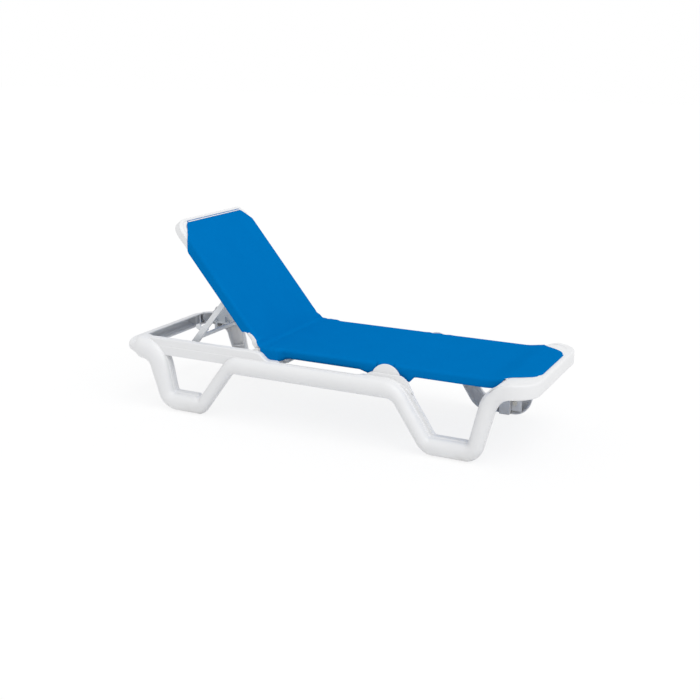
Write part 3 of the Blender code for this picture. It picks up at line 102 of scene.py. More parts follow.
# Bolts stand in pairs behind the ears, and two screws hold the ratchet plate
BOLT_SHIFT, BOLT_Z, MIDDLE_BOLTS_X = 0.032, 0.247, 0.325
SCREWS_X, SCREW_Z = (-0.860, -0.578), 0.303

# The rails that the cloth rolls over: width, height, rounding, and the place of their middle on the seat
PANEL_RAIL = (0.0325, 0.0357, 0.012)
PANEL_Y, PANEL_Z = 0.25895, 0.32335
# The hinge, the back's rise, the bracket's pivots up the back and behind it, and its pins in the hooks
HINGE = (-0.26, 0.33)
BACK_ANGLE = math.radians(50.5)
PIVOT_U, PIVOT_N = 0.27, -0.03
PIN_X, PIN_Z = -0.658, 0.265
# Y on the near side: the middle of the bracket's arms, and the outer faces of the ears and the ratchet plate
ARM_Y, PLATE_BACK = -0.2377, -0.2927

# The bow round the top of the back, in the back's own frame: half its width, the radius of its middle line,
# where it leaves the rail, and the centre of its turn
BOW_HALF, BOW_RADIUS, BOW_START = 0.01775, 0.04425, 0.508
BOW_TURN_U, BOW_TURN_Y = 0.608, 0.218
BOW_STRAIGHT, BOW_QUARTER = BOW_TURN_U - BOW_START, BOW_RADIUS * math.pi / 2

# The cloth: its thickness, the radius it rolls on, half its width over the rails, half the width of its plain
# cut, where its foot edge would lie if flat, and its head edge up the back
CLOTH, SLING_ROLL, SLING_HALF, SLING_CUT = 0.0025, 0.0148, 0.2805, 0.3265
SLING_FOOT, SLING_HEAD = 0.9504, 0.6516
# How far the cloth hangs straight beside its rails
SEAT_HANG, BACK_HANG = 0.0144, 0.0234
# The cut over the hinge ear and over the middle ear with the notch behind its dome: (x, half width, hang)
HINGE_FLARE = (
    (-0.240, 0.3370, 0.0450), (-0.222, 0.3500, 0.0500), (-0.202, 0.3520, 0.0500), (-0.187, 0.3490, 0.0500),
    (-0.172, 0.3405, 0.0400), (-0.162, 0.3350, 0.0300), (-0.147, 0.3290, 0.0200),
)
MIDDLE_FLARE = (
    (0.240, 0.3370, 0.0249), (0.250, 0.3400, 0.0279), (0.282, 0.3370, 0.0249), (0.290, 0.2935, SEAT_HANG),
    (0.358, 0.2935, SEAT_HANG), (0.366, 0.3330, 0.0249), (0.416, 0.3400, 0.0330), (0.426, 0.3480, 0.0390),
    (0.435, 0.3400, 0.0300), (0.447, 0.3285, 0.0164),
)
# The cut between the ears and round the foot corner: (x, half width)
SIDE_CUT = ((-0.130, SLING_CUT), (0.205, SLING_CUT))
FOOT_CUT = (
    (0.460, SLING_CUT), (0.803, SLING_CUT), (0.814, 0.3000), (0.822, 0.2810), (0.836, 0.2620),
    (0.846, 0.2500), (0.864, 0.2390), (0.878, 0.2310), (0.892, 0.2220), (0.905, 0.2125), (0.918, 0.2060),
    (0.931, 0.1930), (0.9385, 0.1840), (0.9465, 0.1770), (SLING_FOOT, 0.1730),
)
# The same two up the back, by the height up it
BACK_FLARE = ((0.0066, 0.3000, 0.0300),)
BACK_CUT = (
    (0.017, 0.2965), (0.030, 0.2920), (0.042, 0.2870), (0.055, 0.2855), (0.072, 0.2880), (0.085, 0.2955),
    (0.099, 0.3070), (0.108, 0.3220), (0.113, 0.3340), (0.120, 0.3355), (0.512, 0.3355), (0.6415, 0.2230),
    (0.6425, 0.2150), (SLING_HEAD, 0.2120),
)


class Value:
    """A number that varies over a surface. Its operators add Math nodes behind it."""

    def __init__(self, tree, socket):
        self.tree, self.socket = tree, socket

    def maths(self, operation, *others):
        node = self.tree.nodes.new("ShaderNodeMath")
        node.operation = operation
        for place, value in enumerate(others):
            if isinstance(value, Value):
                self.tree.links.new(value.socket, node.inputs[place])
            else:
                node.inputs[place].default_value = value
        return Value(self.tree, node.outputs[0])

    def __add__(self, other):
        return self.maths("ADD", self, other)

    def __radd__(self, other):
        return self.maths("ADD", other, self)

    def __sub__(self, other):
        return self.maths("SUBTRACT", self, other)

    def __rsub__(self, other):
        return self.maths("SUBTRACT", other, self)

    def __mul__(self, other):
        return self.maths("MULTIPLY", self, other)

    def __rmul__(self, other):
        return self.maths("MULTIPLY", other, self)

    def __truediv__(self, other):
        return self.maths("DIVIDE", self, other)

    def sine(self):
        return self.maths("SINE", self)

    def least(self, other):
        return self.maths("MINIMUM", self, other)

    def most(self, other):
        return self.maths("MAXIMUM", self, other)

    def within(self, low, high):
        """0 below low, 1 above high, straight between."""
        return ((self - low) / (high - low)).most(0.0).least(1.0)


class Nodes:
    """The nodes of a material or of the world, all made by one method."""

    def __init__(self, tree):
        self.tree = tree

    def feed(self, node, sockets):
        """Sets each socket to a value, or links it."""
        for name, value in sockets.items():
            if isinstance(value, Value):
                self.tree.links.new(value.socket, node.inputs[name])
            else:
                node.inputs[name].default_value = value

    def node(self, kind, settings, sockets, output=0):
        """A new node with its settings and sockets, as the value of one of its outputs."""
        made = self.tree.nodes.new(kind)
        for name, value in settings.items():
            setattr(made, name, value)
        self.feed(made, sockets)
        return Value(self.tree, made.outputs[output])

    def parts(self, place):
        """The three numbers of a place."""
        split = self.node("ShaderNodeSeparateXYZ", {}, {0: place}).socket.node
        return [Value(self.tree, out) for out in split.outputs]

    def seen(self):
        """1 for what the camera sees, also in a gloss or through a glass, and 0 for what lights the chair."""
        path = self.node("ShaderNodeLightPath", {}, {}).socket.node
        names = ("Is Camera Ray", "Is Glossy Ray", "Is Transmission Ray")
        camera_ray, glossy, through = (Value(self.tree, path.outputs[name]) for name in names)
        return camera_ray.most(glossy).most(through)

    def blend(self, share, first, second):
        """One shader by a share of another."""
        return self.node("ShaderNodeMixShader", {}, {0: share, 1: first, 2: second})


class Finish(Nodes):
    """A material: a Principled shader and what feeds it."""

    def __init__(self, name, colour, roughness, metallic=0.0, **sockets):
        self.material = bpy.data.materials.new(name)
        self.material.use_nodes = True
        super().__init__(self.material.node_tree)
        self.shader = self.tree.nodes["Principled BSDF"]
        self.feed(self.shader, {"Base Color": (*colour, 1.0), "Roughness": roughness, "Metallic": metallic})
        self.feed(self.shader, sockets)

    def place(self, output="Object"):
        return self.node("ShaderNodeTexCoord", {}, {}, output)

    def noise(self, scale, detail=3.0, rough=0.55, place=None, stretch=(1, 1, 1)):
        """Noise over the place, which is first scaled along each axis."""
        vector = self.node("ShaderNodeMapping", {}, {"Vector": place or self.place(), "Scale": stretch})
        sockets = {"Vector": vector, "Scale": scale, "Detail": detail, "Roughness": rough}
        return self.node("ShaderNodeTexNoise", {}, sockets)

    def mix(self, share, first, second):
        """One colour by a share of another: a Mix node's colour sockets are 6 and 7, and its output 2."""
        return self.node("ShaderNodeMix", {"data_type": "RGBA"}, {0: share, 6: first, 7: second}, 2)

    def bump(self, height, distance, strength):
        return self.node("ShaderNodeBump", {}, {"Height": height, "Distance": distance, "Strength": strength})

    def set(self, **sockets):
        self.feed(self.shader, {name.replace("_", " "): value for name, value in sockets.items()})
        return self


def moulded(name, colour, shade, roughness, dirt):
    """Moulded resin: a fine orange-peel skin, soft patches of wear, and a little dust down by the feet."""
    dust, scuffed, dusty_height = (0.46, 0.44, 0.40, 1), (0.60, 0.61, 0.62, 1), 0.07
    finish = Finish(name, colour, roughness).set(Specular_IOR_Level=0.35)
    peel = finish.noise(900.0, 2.0)
    patches = finish.noise(7.0, 4.0, 0.6)
    scuffs = finish.noise(60.0, 5.0, 0.7, stretch=(1, 1, 4)).within(0.62, 0.74)
    height = finish.parts(finish.place())[2]
    low = (1 - height.within(0.0, dusty_height)) * patches.within(0.35, 0.7)
    tone = finish.mix(patches.within(0.3, 0.75) * 0.5, (*colour, 1), (*shade, 1))
    tone = finish.mix(low * dirt, tone, dust)
    tone = finish.mix(scuffs * 0.10, tone, scuffed)
    rough = roughness + patches * 0.08 + scuffs * 0.12
    skin = finish.bump(peel, distance=0.00012, strength=0.35)
    return finish.set(Base_Color=tone, Roughness=rough, Normal=skin).material


def coated(name, colour, roughness):
    """Coated metal: a fine grained skin, worn a little darker in patches."""
    worn = tuple(c * 0.78 for c in colour)
    finish = Finish(name, colour, roughness, IOR=1.5)
    grain = finish.noise(1500.0, 2.0)
    wear = finish.noise(40.0, 5.0, 0.7).within(0.55, 0.8)
    tone = finish.mix(wear * 0.35, (*colour, 1), (*worn, 1))
    skin = finish.bump(grain, distance=0.00008, strength=0.4)
    return finish.set(Base_Color=tone, Roughness=roughness + wear * 0.15, Normal=skin).material


def steel(name):
    """Plain steel with turning marks and small dull spots."""
    bright, dull = (0.60, 0.61, 0.62), (0.36, 0.34, 0.33)
    finish = Finish(name, bright, 0.32, metallic=1.0)
    marks = finish.noise(350.0, 3.0, stretch=(1, 6, 1))
    spots = finish.noise(120.0, 4.0).within(0.6, 0.75)
    tone = finish.mix(spots * 0.4, (*bright, 1), (*dull, 1))
    rough = 0.28 + marks * 0.15 + spots * 0.2
    skin = finish.bump(marks, distance=0.0001, strength=0.3)
    return finish.set(Base_Color=tone, Roughness=rough, Normal=skin).material


def woven(name):
    """Coated yarns in a basket weave of one over one, 1.1 mm apart: warps run along the sling's length.

    The sines of the place across and along tell by their product which yarn lies on top, and a sine at twice
    the rate crowns that yarn. Where the crown is low the blue is darkened: painted shade in the hollows
    between the yarns.
    """
    pitch = 0.0011
    blue, deep, pale = (0.0002, 0.162, 0.470, 1), (0.0001, 0.098, 0.318, 1), (0.0006, 0.200, 0.55, 1)
    finish = Finish(name, blue[:3], 0.62).set(Specular_IOR_Level=0.0)
    across, along, _ = finish.parts(finish.place("UV"))
    turn, quarter = math.pi / pitch, math.pi / 2
    warp = (across * turn).sine()
    weft = (along * turn).sine()
    over = (warp * weft).within(-0.25, 0.25)
    warp_crown = (across * (2 * turn) + quarter).sine()
    weft_crown = (along * (2 * turn) + quarter).sine()
    crown = over * warp_crown + (1 - over) * weft_crown
    yarn = finish.noise(420.0, 3.0, 0.6, place=finish.place("UV"), stretch=(6, 1, 1))
    cloud = finish.noise(9.0, 3.0, 0.5)
    tone = finish.mix(over * 0.35, blue, pale)
    # painted shade: the blue turns deeper where the crown is low, in the hollows between yarns
    tone = finish.mix((0.5 - crown * 0.5) * 0.35, tone, deep)
    tone = finish.mix(yarn.within(0.35, 0.8) * 0.18, tone, deep)
    tone = finish.mix(cloud.within(0.35, 0.75) * 0.10, tone, pale)
    relief = finish.bump(crown * 0.5 + yarn * 0.3, distance=0.00022, strength=0.55)
    return finish.set(Base_Color=tone, Roughness=0.58 + yarn * 0.12, Normal=relief).material


FINISHES = {
    "white_resin": moulded("moulded_white", (0.755, 0.757, 0.762), (0.725, 0.728, 0.735), 0.34, dirt=0.3),
    "grey_resin": moulded("moulded_grey", (0.56, 0.59, 0.62), (0.51, 0.54, 0.57), 0.42, dirt=0.2),
    "coated_metal": coated("coated_bar", (0.70, 0.715, 0.73), 0.38),
    "steel": steel("bare_steel"),
    "sling_fabric": woven("woven_blue"),
    "plug_plastic": moulded("moulded_cream", (0.80, 0.77, 0.69), (0.74, 0.71, 0.63), 0.45, dirt=0.0),
}


class Shape:
    """Surfaces of one piece: grids of points whose quads join neighbouring rings."""

    def __init__(self):
        self.points, self.quads, self.caps, self.count = [], [], [], 0

    def loft(self, rings):
        """A closed ring of points carried along a path: quads between rings, and a flat cap on each end."""
        rings = np.asarray(rings, float)
        count, size = rings.shape[:2]
        ring, spot = np.meshgrid(np.arange(count - 1), np.arange(size), indexing="ij")
        near = self.count + ring * size
        after = (spot + 1) % size
        sides = (near + spot, near + after, near + size + after, near + size + spot)
        self.quads.append(np.stack(sides, -1).reshape(-1, 4))
        first = self.count + np.arange(size)
        self.caps += [first.tolist(), (first + (count - 1) * size).tolist()]
        self.points.append(rings.reshape(-1, 3))
        self.count += count * size
        return self

    def add(self, other):
        """The surfaces of another shape as well."""
        self.points += other.points
        self.quads += [quads + self.count for quads in other.quads]
        self.caps += [[i + self.count for i in cap] for cap in other.caps]
        self.count += other.count
        return self

    def placed(self, rotation, origin):
        """The same shape turned by a matrix and moved."""
        made = Shape()
        made.points = [points @ np.asarray(rotation).T + origin for points in self.points]
        made.quads, made.caps, made.count = self.quads, self.caps, self.count
        return made

    def flipped(self):
        """The mirror image on the far side."""
        return self.placed(np.diag(FLIP), np.zeros(3))

    def piece(self, name, slot, body, nodes=(), sharp=38):
        """One named object of these surfaces, riding on a body and standing for CAD nodes.

        Edges that bend by more than sharp, in degrees, stay crisp.
        """
        mesh = bpy.data.meshes.new(name)
        faces = np.concatenate(self.quads).tolist() + self.caps
        mesh.from_pydata(np.concatenate(self.points), [], faces)
        work = bmesh.new()
        work.from_mesh(mesh)
        bmesh.ops.remove_doubles(work, verts=work.verts, dist=1e-6)
        bmesh.ops.recalc_face_normals(work, faces=work.faces)
        work.to_mesh(mesh)
        work.free()
        mesh.shade_smooth()
        mesh.set_sharp_from_angle(angle=math.radians(sharp))
        mesh.materials.append(FINISHES[slot])
        obj = bpy.data.objects.new(name, mesh)
        bpy.context.scene.collection.objects.link(obj)
        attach(obj, body)
        if nodes:
            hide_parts(*nodes)


def single(shape, name, slot, body, **settings):
    """A piece that stands for the one node of its own name."""
    shape.piece("dressed_" + name, slot, body, nodes=(name,), **settings)


def pair(shape, name, slot, body, **settings):
    """A near piece and its mirror image, each standing for the node of its own name."""
    single(shape, name + "_near", slot, body, **settings)
    single(shape.flipped(), name + "_far", slot, body, **settings)


def smoothstep(value):
    """0 below 0, 1 above 1, and v^2 (3 - 2 v) between."""
    value = np.clip(value, 0, 1)
    return value * value * (3 - 2 * value)


def between(place, start, end, soft):
    """1 well inside two places along the frame and 0 outside them."""
    return smoothstep((place - start) / soft) * smoothstep((end - place) / soft)


def near_y(depth):
    """Y on the near side at a depth inside the chair's outer face."""
    return depth - HALF_WIDTH


def softened(corners, radii, steps=4):
    """A closed outline with rounded corners: at each one a parabola that touches both sides at the radius."""
    corners = np.asarray(corners, float)
    radii = np.broadcast_to(np.asarray(radii, float), len(corners))

    def towards(neighbours):
        run = neighbours - corners
        reach = np.minimum(radii / np.maximum(np.linalg.norm(run, axis=1), 1e-9), 0.48)
        return (corners + run * reach[:, None])[:, None]

    start, middle, end = towards(np.roll(corners, 1, 0)), corners[:, None], towards(np.roll(corners, -1, 0))
    t = np.linspace(0, 1, steps + 1)[None, :, None]
    return ((1 - t) ** 2 * start + 2 * t * (1 - t) * middle + t**2 * end).reshape(-1, 2)


def block(width, height):
    """Corners of a rectangle about the origin."""
    x, y = width / 2, height / 2
    return [(x, y), (-x, y), (-x, -y), (x, -y)]


def panel(left, right, low, high):
    """Corners of a rectangle between two places along x and two heights."""
    return [(left, low), (right, low), (right, high), (left, high)]


def arc(centre, radius, start, end, steps):
    """Points round a centre from one angle to another, in degrees."""
    angle = np.radians(np.linspace(start, end, steps + 1))
    return np.column_stack((centre[0] + radius * np.cos(angle), centre[1] + radius * np.sin(angle)))


def inset(outline, amount):
    """The outline moved inwards along its own normals."""
    run = np.roll(outline, -1, 0) - np.roll(outline, 1, 0)
    run /= np.maximum(np.linalg.norm(run, axis=1, keepdims=True), 1e-12)
    inward = np.column_stack((-run[:, 1], run[:, 0]))
    x, y = outline.T
    area = np.sum(x * np.roll(y, -1) - y * np.roll(x, -1))
    return outline + inward * amount * math.copysign(1, area)


def slab_rings(outline, start, end, edge, axes):
    """Rings of a flat plate with quarter-round edges; axes puts (across, up, through) into x, y, z."""
    turn = np.radians((0, 30, 60, 90))
    insets, falls = edge * (1 - np.cos(turn)), edge * (1 - np.sin(turn))
    layers = [*zip(insets[::-1], start + falls[::-1]), *zip(insets, end - falls)]
    rings = []
    for amount, height in layers:
        flat = inset(outline, amount)
        rings.append(np.column_stack((flat, np.full(len(flat), height)))[:, axes])
    return rings


def plate(outline, start, end, edge=0.001):
    """A plate whose outline is (x, z), between two places along y."""
    return Shape().loft(slab_rings(np.asarray(outline, float), start, end, edge, (0, 2, 1)))


def bar_x(section, start, end, y, z, edge=0.0015):
    """A bar along x with a (y, z) section."""
    section = np.asarray(section, float) + (y, z)
    return Shape().loft(slab_rings(section, start, end, edge, (2, 0, 1)))


def bar_y(section, half, x, z, edge=0.0015):
    """A bar across the chair, half its length to each side, with an (x, z) section."""
    return plate(np.asarray(section, float) + (x, z), -half, half, edge)


def turned_y(profile, x, z, steps=32, y=0.0):
    """A profile of (radius, distance from y) turned about a line along y."""
    radius, along = (np.asarray(profile, float) + (0.0, y)).T
    angle = np.linspace(0, 2 * np.pi, steps, endpoint=False)
    east, up = x + radius[:, None] * np.cos(angle), z + radius[:, None] * np.sin(angle)
    return Shape().loft(np.stack((east, np.repeat(along[:, None], steps, 1), up), -1))


def tilt(angle):
    """Turns about y: positive takes +z to +x."""
    c, s = math.cos(angle), math.sin(angle)
    return np.array(((c, 0, s), (0, 1, 0), (-s, 0, c)))


def on_back(shape):
    """From the back's own frame, lying flat about the hinge, to where it stands at rest."""
    return shape.placed(tilt(BACK_ANGLE), np.array((HINGE[0], 0, HINGE[1])))


def wave_bends():
    """Bends of the side frame as (place, height, fillet, width before, width after)."""
    rows = [(-SPLICE, HEAD_MIDDLE, 0, HEAD_BAR, HEAD_BAR)]
    for place, height, fillet, before, after in BEND_SHARES:
        centre = max(before, after) * TUBE / 2 if height is None else height * SEAT_HEIGHT
        rows.append((place * HALF_LENGTH, centre, fillet * TUBE, before * TUBE, after * TUBE))
    rows.append((FOOT_BEND * HALF_LENGTH, FOOT_MIDDLE, FOOT_FILLET * TUBE, FOOT_BEFORE * TUBE, FOOT_BAR))
    rows.append((SPLICE, FOOT_MIDDLE, 0, FOOT_BAR, FOOT_BAR))
    return rows


def rounded_bend(before, bend, after, turn_step):
    """Stations of the arc that touches the straights on both sides of a bend; only its ends have a width."""
    first = math.atan2(bend[1] - before[1], bend[0] - before[0])
    last = math.atan2(after[1] - bend[1], after[0] - bend[0])
    side = math.copysign(bend[2], last - first)
    reach = bend[2] * math.tan(abs(last - first) / 2)
    x = bend[0] - reach * math.cos(first) - side * math.sin(first)
    z = bend[1] - reach * math.sin(first) + side * math.cos(first)
    slopes = np.linspace(first, last, max(3, math.ceil(abs(last - first) / turn_step)) + 1)
    widths = [bend[3]] + [math.nan] * (len(slopes) - 2) + [bend[4]]
    return [(x + side * math.sin(a), z - side * math.cos(a), a, w) for a, w in zip(slopes, widths)]


def wave_path(turn_step=math.radians(3), run_step=0.012):
    """Stations (place, height, slope, width): straights and arcs, the width passing by smoothstep."""
    bends = wave_bends()
    rows = [(bends[0][0], bends[0][1], 0.0, bends[0][4])]
    for before, bend, after in zip(bends, bends[1:], bends[2:]):
        rows += rounded_bend(before, bend, after, turn_step)
    rows.append((bends[-1][0], bends[-1][1], 0.0, bends[-1][3]))
    found = [np.array(rows[0])]
    for start, end in zip(np.array(rows), np.array(rows[1:])):
        pieces = max(1, math.ceil(math.hypot(*(end - start)[:2]) / run_step))
        for i in range(1, pieces):
            middle = start + (end - start) * i / pieces
            middle[3] = math.nan
            found.append(middle)
        found.append(end)
    rows = np.array(found)
    along = np.concatenate(([0], np.cumsum(np.hypot(np.diff(rows[:, 0]), np.diff(rows[:, 1])))))
    keys = np.flatnonzero(~np.isnan(rows[:, 3]))
    for first, last in zip(keys, keys[1:]):
        share = (along[first:last] - along[first]) / max(along[last] - along[first], 1e-6)
        rows[first:last, 3] = rows[first, 3] + (rows[last, 3] - rows[first, 3]) * smoothstep(share)
    return rows


def plan(place, depth):
    """X and y on the near side at a place along the outer face and a depth in, round a quarter circle."""
    run = np.abs(place)
    turn = np.clip(run - CORNER_START, 0, SPLICE - CORNER_START) / CORNER_RADIUS
    radius = CORNER_RADIUS - depth
    x = np.sign(place) * (np.minimum(run, CORNER_START) + radius * np.sin(turn))
    y = np.maximum(run - SPLICE, 0) + CORNER_RADIUS - HALF_WIDTH - radius * np.cos(turn)
    return x, y


def boxiness(place):
    """0 where the face is a half circle, 1 round the foot end, where it is a box with a crisp ridge."""
    return smoothstep((place - 0.80) / 0.08)


def ledge(place):
    """How far the inner flange drops below the ridge near the foot end."""
    deepest, start, run = 0.0448, 0.8058, 0.0483
    return deepest * smoothstep((place - start) / run)


def flange_ends(place):
    """How deep the low and the high flange reach: less below the legs, and less on top of the middle rail."""
    below_legs = sum(between(place, *leg, 0.03) for leg in LEGS)
    return DEPTH - 0.026 * below_legs, DEPTH - 0.022 * between(place, *MIDDLE_RAIL, 0.02)


def channel_section(width, place, points=30):
    """The channel's wall as a ring of (across, depth): a face |a|^n + |d|^n = 1, a step beside it, flanges.

    On the head leg the high flange rises in two fine steps, down the front leg it flares to a flat strip, and
    near the foot end it drops below the face's ridge. The inside follows a wall further in.
    """
    half, drop, boxy = width / 2, ledge(place), boxiness(place)
    power = 2.0 + 6.0 * boxy + 0.5 * smoothstep((-place - 0.90) / 0.1)
    step, back, soft = STEP * (1 - boxy), BULGE + STEP, 0.0012
    low_end, high_end = flange_ends(place)
    fine = 0.0016 * smoothstep((-0.52 - place) / 0.06)
    flare = 0.0105 * between(place, 0.375, 0.565, 0.045)
    angle = np.linspace(-np.pi / 2, np.pi / 2, points)
    sine, cosine = np.sin(angle), np.cos(angle)
    curve = np.sign(sine) * np.abs(sine) ** (2 / power)
    rise = np.abs(cosine) ** (2 / power)
    face = np.column_stack(((half - step) * curve, BULGE * (1 - rise)))

    step_across, step_depth = step * 0.75, back - step * 0.35
    low = [(-half, low_end), (-half, back + soft), (-half + soft / 2, back - soft / 2)]
    low.append((-half + step_across, step_depth))
    crest = half - step * 0.25 * (1 - min(1, drop / 0.04)) - 0.1 * (DEPTH - high_end)
    high = [(half - step_across, step_depth), (crest - soft / 2, back - soft / 2), (crest, back + soft * 0.4)]

    top = half - drop
    first, second = top + fine + flare, top + 2 * (fine + flare * 0.6)
    depths = (back + 0.0015 + soft, 0.0435, 0.0440, 0.0535, 0.0540, DEPTH)
    depths = np.minimum(depths, high_end - 0.001 * np.arange(5, -1, -1))
    high += list(zip((top, top, first, first, second, second), depths))

    inner_face = np.column_stack(((half - step - WALL) * curve, BULGE - (BULGE - WALL) * rise))[::3]
    inner = [(WALL - half, low_end), (WALL - half, back)] + inner_face.tolist() + [(top - WALL, back + 0.001)]
    depths = np.minimum((0.0470, 0.0475, DEPTH), high_end - 0.001 * np.arange(2, -1, -1))
    inner += list(zip((top - WALL, first - WALL, second - WALL), depths))
    return np.array(low + face.tolist() + high + inner[::-1])


def rib_section(width, place):
    """What fills the channel across, a little short of its back, with its edge halfway into the wall."""
    half, reach = width / 2, width / 2 - STEP - WALL / 2
    angle = np.linspace(-np.pi / 2, np.pi / 2, 11)
    face = np.column_stack((reach * np.sin(angle), BULGE - (BULGE - WALL / 2) * np.cos(angle)))
    back, low, high = BULGE + STEP, WALL / 2 - half, half - ledge(place) - WALL / 2
    low_end, high_end = (min(DEPTH - 0.008, deep - 0.002) for deep in flange_ends(place))
    return np.vstack(([(low, low_end), (low, back)], face, [(high, back), (high, high_end)]))


def swept(rows, section):
    """Rings through the world of a section carried square to the wave's path and round the plan."""
    rings = []
    for place, height, slope, width in rows:
        across, depth = section(width, place).T
        x, y = plan(place - across * math.sin(slope), depth)
        rings.append(np.column_stack((x, y, height + across * math.cos(slope))))
    return np.array(rings)


def rail_rings():
    """The head rail's wall: top rounded over, a raised band along its middle, open behind."""
    stretches = ((-0.984, -0.80, 0.005), (-0.80, -0.27, 0.02), (-0.268, -0.188, 0.003))
    places = np.concatenate([np.arange(*stretch) for stretch in stretches])
    tops = np.interp(places, *np.array(RAIL_TOPS).T)
    tops = np.convolve(np.pad(tops, 2, mode="edge"), np.ones(5) / 5, "valid")
    low, back, front, band, inside = RAIL_LOW, DEPTH - 0.001, BULGE, BULGE + 0.0016, BULGE + 0.0066
    radii = [0.0008, 0.001, 0.001, 0.0008, 0.0008, 0.0065, 0.0008, 0.0008, 0.003, 0.003, 0.0008]
    rings = []
    for place, top in zip(places, tops):
        middle = low + 0.52 * (top - low)
        corners = [
            (low, back), (low, front + 0.001), (low + 0.0012, front), (middle, front),
            (middle + 0.0014, band), (top, band), (top, back), (top - WALL, back), (top - WALL, inside),
            (low + WALL, inside), (low + WALL, back),
        ]
        height, depth = softened(corners, radii).T
        x, y = plan(np.full(len(height), place), depth)
        rings.append(np.column_stack((x, y, height)))
    return np.array(rings)


def frame_bosses():
    """Round screw bosses inside the side frame, at (x, z) and from the depth that they rise from."""
    radius, ease = 0.009, 0.0006
    middles, shifts = (HINGE[0], MIDDLE_BOLTS_X), (-BOLT_SHIFT, BOLT_SHIFT)
    bosses = [(x + shift, BOLT_Z, WALL / 2) for x in middles for shift in shifts]
    bosses.append((SCREWS_X[1], SCREW_Z, BULGE + STEP))
    shape = Shape()
    for x, z, depth in bosses:
        profile = [(radius, near_y(depth)), (radius, -LIP_Y - ease), (radius - ease, -LIP_Y), (0.0, -LIP_Y)]
        shape.add(turned_y(profile, x, z, 24))
    return shape


def ear_lip():
    """The flange's raised strip before the middle ear, with a round shoulder down the front leg."""
    outside, inside = -0.3025, -0.2932
    corners = [
        (0.230, 0.268), (0.424, 0.252), (0.455, 0.235), (0.4595, 0.2375), (0.4325, 0.2840), (0.420, 0.2965),
        (0.401, 0.3075), (0.270, 0.3075), (0.240, 0.2915),
    ]
    outline = softened(corners, (0.001, 0.001, 0.001, 0.001, 0.010, 0.010, 0.012, 0.010, 0.010), 6)
    return plate(outline, outside, inside, 0.0012)


def corner_shelf(rows):
    """The shelf in a foot corner: from the ridge it slopes up to a flat edge that slants in under the cloth.

    It is a grid over the run along the ridge and three lines across it: ridge, a line between, and edge.
    """
    thickness, start, last_y, below_ridge, ridge_depth = 0.0035, 0.808, -0.155, 0.0008, 0.011
    foot_rows = [row for row in rows if row[0] > start]
    ridge = swept(foot_rows, lambda width, place: np.array([[width / 2 - below_ridge, ridge_depth]]))[:, 0]
    ridge = ridge[ridge[:, 1] < last_y]
    share = np.linspace(0, 1, len(ridge))
    edge_x = (0.810, 0.840, 0.870, 0.905, 0.925, 0.9335)
    edge_y = (-0.293, -0.255, -0.228, -0.199, -0.172, -0.150)
    place = np.linspace(0, 1, len(edge_x))
    rise = ridge[:, 2] + (FOOT_RIDGE - ridge[:, 2]) * smoothstep((share + 0.02) / 0.24)
    edge = np.column_stack((np.interp(share, place, edge_x), np.interp(share, place, edge_y), rise))
    middle = ridge * (0.45, 0.45, 0.35) + edge * (0.55, 0.55, 0.65)
    below = np.array((0, 0, thickness))
    return Shape().loft(np.stack((ridge, middle, edge, edge - below, middle - below, ridge - below), 1))


def leg_feet():
    """The block and the web that close each leg's foot on the inside, and a rim round the plug's seat."""
    seat = [(0.0125, 0.038), (0.0125, 0.0405), (0.0118, 0.041), (0.0108, 0.041), (0.0108, 0.0385)]
    shape = Shape()
    for _, middle, side in LEG_FEET:
        block_x = sorted((middle + side * 0.003, middle + side * 0.051))
        web_x = sorted((middle + side * 0.046, middle + side * 0.10))
        foot = softened(panel(*block_x, 0.002, 0.067), 0.003)
        shape.add(plate(foot, near_y(BULGE + STEP), near_y(DEPTH - 0.001), 0.001))
        web = softened(panel(*web_x, 0.018, 0.078), 0.004)
        shape.add(plate(web, near_y(0.036), near_y(0.039), 0.0008))
        shape.add(turned_y(seat, middle + side * PLUG_SHIFT, PLUG_Z, 32, near_y(0.0)))
    return shape


def side_frames():
    """The wave-shaped channel with head rail, ribs, bosses and closed feet, one moulding on each side."""
    rows = wave_path()
    shape = Shape().loft(swept(rows, channel_section)).loft(rail_rings())
    for share in RIB_SHARES:
        place = share * HALF_LENGTH
        height, slope, width = (np.interp(place, rows[:, 0], rows[:, i]) for i in (1, 2, 3))
        run, rise = math.cos(slope), math.sin(slope)
        ends = [(place + d * run, height + d * rise, slope, width) for d in (-HALF_RIB, HALF_RIB)]
        shape.loft(swept(ends, rib_section))
    shape.add(frame_bosses()).add(leg_feet()).add(ear_lip()).add(corner_shelf(rows))
    pair(shape, "side_frame", "white_resin", "base", sharp=30)


def end_bars():
    """The straight channels between the side frames, with ribs across and a plug in each end."""
    start, end = SPLICE + SEAM, SPLICE + 2 * (HALF_WIDTH - CORNER_RADIUS) - SEAM
    for name, side, width, height, ribs in (
        ("head_bar", -1, HEAD_BAR, HEAD_MIDDLE, HEAD_BAR_RIBS),
        ("foot_bar", 1, FOOT_BAR, FOOT_MIDDLE, FOOT_BAR_RIBS),
    ):
        rows = [(side * run, height, 0.0, width) for run in np.linspace(start, end, 24)]
        shape = Shape().loft(swept(rows[::side], channel_section))
        for offset in ribs:
            rows = [(side * (start + offset + d), height, 0.0, width) for d in (-HALF_RIB, HALF_RIB)]
            shape.loft(swept(rows[::side], rib_section))
        rows = [(side * (start + d), height, 0.0, width) for d in (0.001, 0.012)]
        stop = swept(rows[::side], rib_section)
        shape.loft(stop).loft(stop * FLIP)
        single(shape, name, "white_resin", "base", sharp=30)


def round_end(first, second, low, high, radius=0.0018, steps=3):
    """The rounded far end of a strip that rises from low to high between two places along x."""
    corners = [(first, low), (first, high), (second, high), (second, low)]
    return softened(corners, radius, steps)[steps + 1:3 * (steps + 1)]


